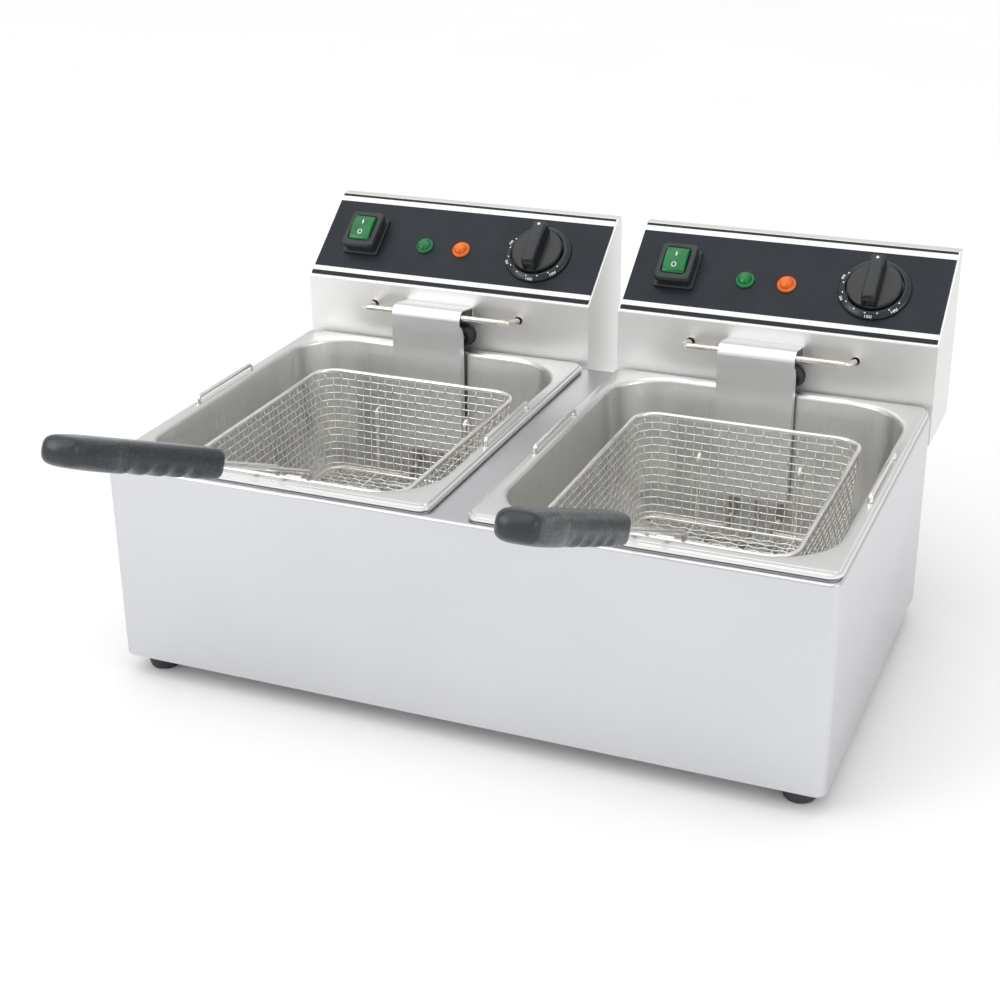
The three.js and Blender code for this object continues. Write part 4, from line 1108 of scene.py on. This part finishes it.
def make_dial(side):
    p = PANEL
    profile = [(7, p), (29.1, p), (29.5, p + 0.4), (29.5, p + 1.2), (29.1, p + 1.9), (28.2, p + 2.55),
               (26.4, p + 3.6), (24.7, p + 4.55), (24.1, p + 4.6), (23.5, p + 4.2), (23.3, p + 1.4),
               (7, p + 1.4)]
    ring = lathe("dial", profile, gloss_black, steps=72, looped=True)
    shapes = []
    for degrees in range(-30, -211, -22):
        a = math.radians(degrees)
        r = 25.6
        centre = (r * math.cos(a), r * math.sin(a))
        dot = [circle(0.8, dial_height(r) + z, 12, centre) for z in (-0.3, 0.12)]
        shapes.append(loft_arrays(dot))
    for text, degrees in (("60", -196), ("90", -152), ("120", -90), ("160", -46)):
        a = math.radians(degrees)
        unit = 0.72
        pitch = 3.1 * unit
        outward = np.array([math.cos(a), math.sin(a)])
        across = np.array([-outward[1], outward[0]])
        for place_at, digit in enumerate(text):
            shift = (place_at - (len(text) - 1) / 2) * pitch
            for x0, y0, x1, y1 in DIGITS[digit]:
                ends = [outward * (27.5 + (2 - v) * unit * 0.9) + across * (shift + (u - 1) * unit)
                        for u, v in ((x0, y0), (x1, y1))]
                shapes.append(stroke(*ends, 0.5, PANEL + 1.2, dial_height(27.4) + 0.2))
    marks = collected("marks", shapes, print_white)
    whole = joined([ring, marks], f"dial_{side}")
    onto_panel(whole, middle_x(f"dial_ring_{side}"))
    place(whole, f"head_{side}", "gloss_black", f"dial_ring_{side}")


def make_knob(side):
    base = PANEL + 2.2
    profile = [(3.3, base), (22.0, base), (22.4, base + 0.5), (22.4, base + 4.6), (22.1, base + 5.4),
               (21.3, base + 5.9), (20.4, base + 6.1), (3.3, base + 6.1)]
    disc = lathe("disc", profile, gloss_black, steps=96, looped=True)
    tiers = ((6.8, 21.6, 2.0, 5.2), (6.4, 21.6, 2.2, 8.0), (6.1, 21.5, 2.4, 15.0),
             (5.6, 21.1, 2.6, 17.4), (4.9, 20.4, 2.8, 18.4), (3.9, 19.4, 2.4, 18.7))
    bar = oval_stack("bar", [(*tier[:3], base + tier[3]) for tier in tiers], gloss_black, 8)
    bore = lathe("bore", [(3.3, base - 3), (3.3, base + 11.5)], gloss_black, steps=24)
    carve(bar, [bore])
    profile = [(0, base + 18.5), (1.25, base + 18.5), (1.2, base + 18.85), (0, base + 18.9)]
    dot = lathe("dot", profile, print_white, (0, 17.6, 0), 24)
    whole = joined([disc, bar, dot], f"knob_cap_{side}")
    whole.data.set_sharp_from_angle(angle=math.radians(38))
    onto_panel(whole, middle_x(f"knob_{side}"))
    place(whole, f"knob_{side}", "gloss_black", f"knob_{side}")


def make_seal(side):
    low, high = box_mm(f"element_seal_{side}")
    centre_x = (low[0] + high[0]) / 2
    z = (low[2] + high[2]) / 2
    boss = (high[2] - low[2]) / 2 - 0.8
    front = head_front - GAP
    rings = [oval_ring(20 + boss + 0.8 - e, boss + 0.8 - e, boss - e, t, 12)
             for e, t in ((0, 0), (0, 1.8), (0.6, 2.4))]
    parts = [loft("flange", rings, boot_black)]
    profile = [(0, 0), (boss, 0), (boss, 7.8), (boss - 0.7, 9.9), (boss - 2.2, 11), (5.0, 11),
               (4.0, 10.2), (0, 10.2)]
    parts += [lathe("boss", profile, boot_black, (x, 0, 0), 36) for x in (-20, 20)]
    whole = joined(parts, f"seal_{side}")
    whole.data.transform(turned_to((centre_x, front, z), math.pi / 2))
    place(whole, f"head_{side}", "rubber", f"element_seal_{side}")


def make_gland(side):
    low, high = box_mm(f"cable_gland_{side}")
    x, z = (low[0] + high[0]) / 2, (low[2] + high[2]) / 2
    start = low[1]
    depth = high[1] - start
    hexagon, round_steps = 6, 48
    inner = 4.5
    profile = [(inner, 0), (8, 0), (8, 12.9), (11.4, 12.9), (11.4, 16.2), (11.0, 16.9), (8.6, 17.2),
               (7.9, 21.2), (6.6, depth - 0.7), (5.6, depth), (inner, depth)]
    rings = []
    for r, along in profile:
        angles = np.arange(round_steps) * 2 * math.pi / round_steps
        flat = abs(r - 11.4) < 0.5
        reach = []
        for a in angles:
            wedge = (a % (2 * math.pi / hexagon)) - math.pi / hexagon
            reach.append(r * math.cos(math.pi / hexagon) / math.cos(wedge) if flat else r)
        rings.append([(q * math.cos(a), q * math.sin(a), along) for q, a in zip(reach, angles)])
    gland = loft(f"gland_{side}", rings, gloss_black, 35.0, looped=True)
    gland.data.transform(turned_to((x, start, z), -math.pi / 2))
    place(gland, f"head_{side}", "gloss_black", f"cable_gland_{side}")


# ---- building

make_body()
make_feet()
for side in SIDES:
    make_tank(side)
    make_bails(side)
    make_basket_mesh(side)
    make_basket_wires(side)
    make_handle_wire(side)
    make_clip(side)
    make_grip(side)
    make_element(side)
    make_cover(side)
    make_rod(side)
    make_head(side)
    make_label(side)
    make_switch(side)
    make_rocker(side)
    make_lamp(side, "power", green_lens, "green_lens")
    make_lamp(side, "heat", orange_lens, "orange_lens")
    make_dial(side)
    make_knob(side)
    make_seal(side)
    make_gland(side)

KEPT_LOOKS = {
    "base_plate": hidden_steel,
    "head_bracket": hidden_steel,
    "head_back_cover": head_steel_painted_lighter,
    "thermostat_bulb": sensor_metal,
    "terminal_block": ceramic,
    "thermostat": gloss_black,
}
for name, node in frame["nodes"].items():
    if node.hide_render:
        continue
    look = KEPT_LOOKS[name.removesuffix("_left").removesuffix("_right")]
    node.data.materials.clear()
    node.data.materials.append(look)


# ---- floor, light and camera

def make_floor():
    surface = Surface("floor_white", (0.93, 0.93, 0.93), 0.6)
    surface.tint(surface.noise(2.0, detail=2), (0.92, 0.92, 0.92), (0.94, 0.94, 0.94))
    surface.rough(surface.noise(20, detail=2), 0.55, 0.65)
    reach, level = 6000, -0.2
    corners = [(x * reach, y * reach, level) for x, y in ((-1, -1), (1, -1), (1, 1), (-1, 1))]
    floor = new_piece("floor", corners, [(0, 1, 2, 3)], surface.material)


def new_light(name, kind, energy):
    data = bpy.data.lights.new(name, kind)
    data.energy = energy
    light = bpy.data.objects.new(name, data)
    bpy.context.scene.collection.objects.link(light)
    return light, data


def soft_light(name, position, target, size, power):
    """Rectangular area light aimed at a target."""
    light, data = new_light(name, "AREA", power)
    data.shape = "RECTANGLE"
    data.size, data.size_y = size
    light.location = position
    aim = Vector(target) - Vector(position)
    light.rotation_euler = aim.to_track_quat("-Z", "Y").to_euler()


def soft_sun(name, rotation, strength, spread):
    """Broad light from overhead; spread is the angle it fills in the sky."""
    light, data = new_light(name, "SUN", strength)
    data.angle = math.radians(spread)
    light.rotation_euler = rotation


def make_world(color, strength):
    world = bpy.data.worlds.new("studio")
    bpy.context.scene.world = world
    world.use_nodes = True
    background = world.node_tree.nodes["Background"]
    background.inputs["Color"].default_value = (*color, 1)
    background.inputs["Strength"].default_value = strength


def make_camera(position, target, roll, lens_mm):
    data = bpy.data.cameras.new("camera")
    data.lens = lens_mm
    data.sensor_width = 36
    data.clip_start, data.clip_end = 0.05, 50
    camera = bpy.data.objects.new("camera", data)
    bpy.context.scene.collection.objects.link(camera)
    back = (Vector(position) - Vector(target)).normalized()
    right = Vector((0, 0, 1)).cross(back).normalized()
    up = back.cross(right)
    turned_right = right * math.cos(roll) + up * math.sin(roll)
    turned_up = up * math.cos(roll) - right * math.sin(roll)
    matrix = Matrix.Identity(4)
    for column, axis in enumerate((turned_right, turned_up, back)):
        matrix.col[column][:3] = axis
    matrix.translation = Vector(position)
    camera.matrix_world = matrix
    bpy.context.scene.camera = camera


make_floor()
make_world((1.0, 1.0, 1.0), 0.78)
soft_sun("overhead", (math.radians(12), math.radians(-8), 0), 0.95, 70)
soft_light("key", (-2.2, -2.2, 2.0), (0, 0, 0.1), (1.8, 1.4), 22)
soft_light("side", (2.6, -0.6, 1.3), (0, 0, 0.15), (1.2, 1.2), 7)
make_camera((0.46869, -1.11330, 0.68918), (-0.08107, 0.19879, 0.05794), math.radians(-0.57), 63.4)
bpy.context.scene.view_settings.view_transform = "Standard"
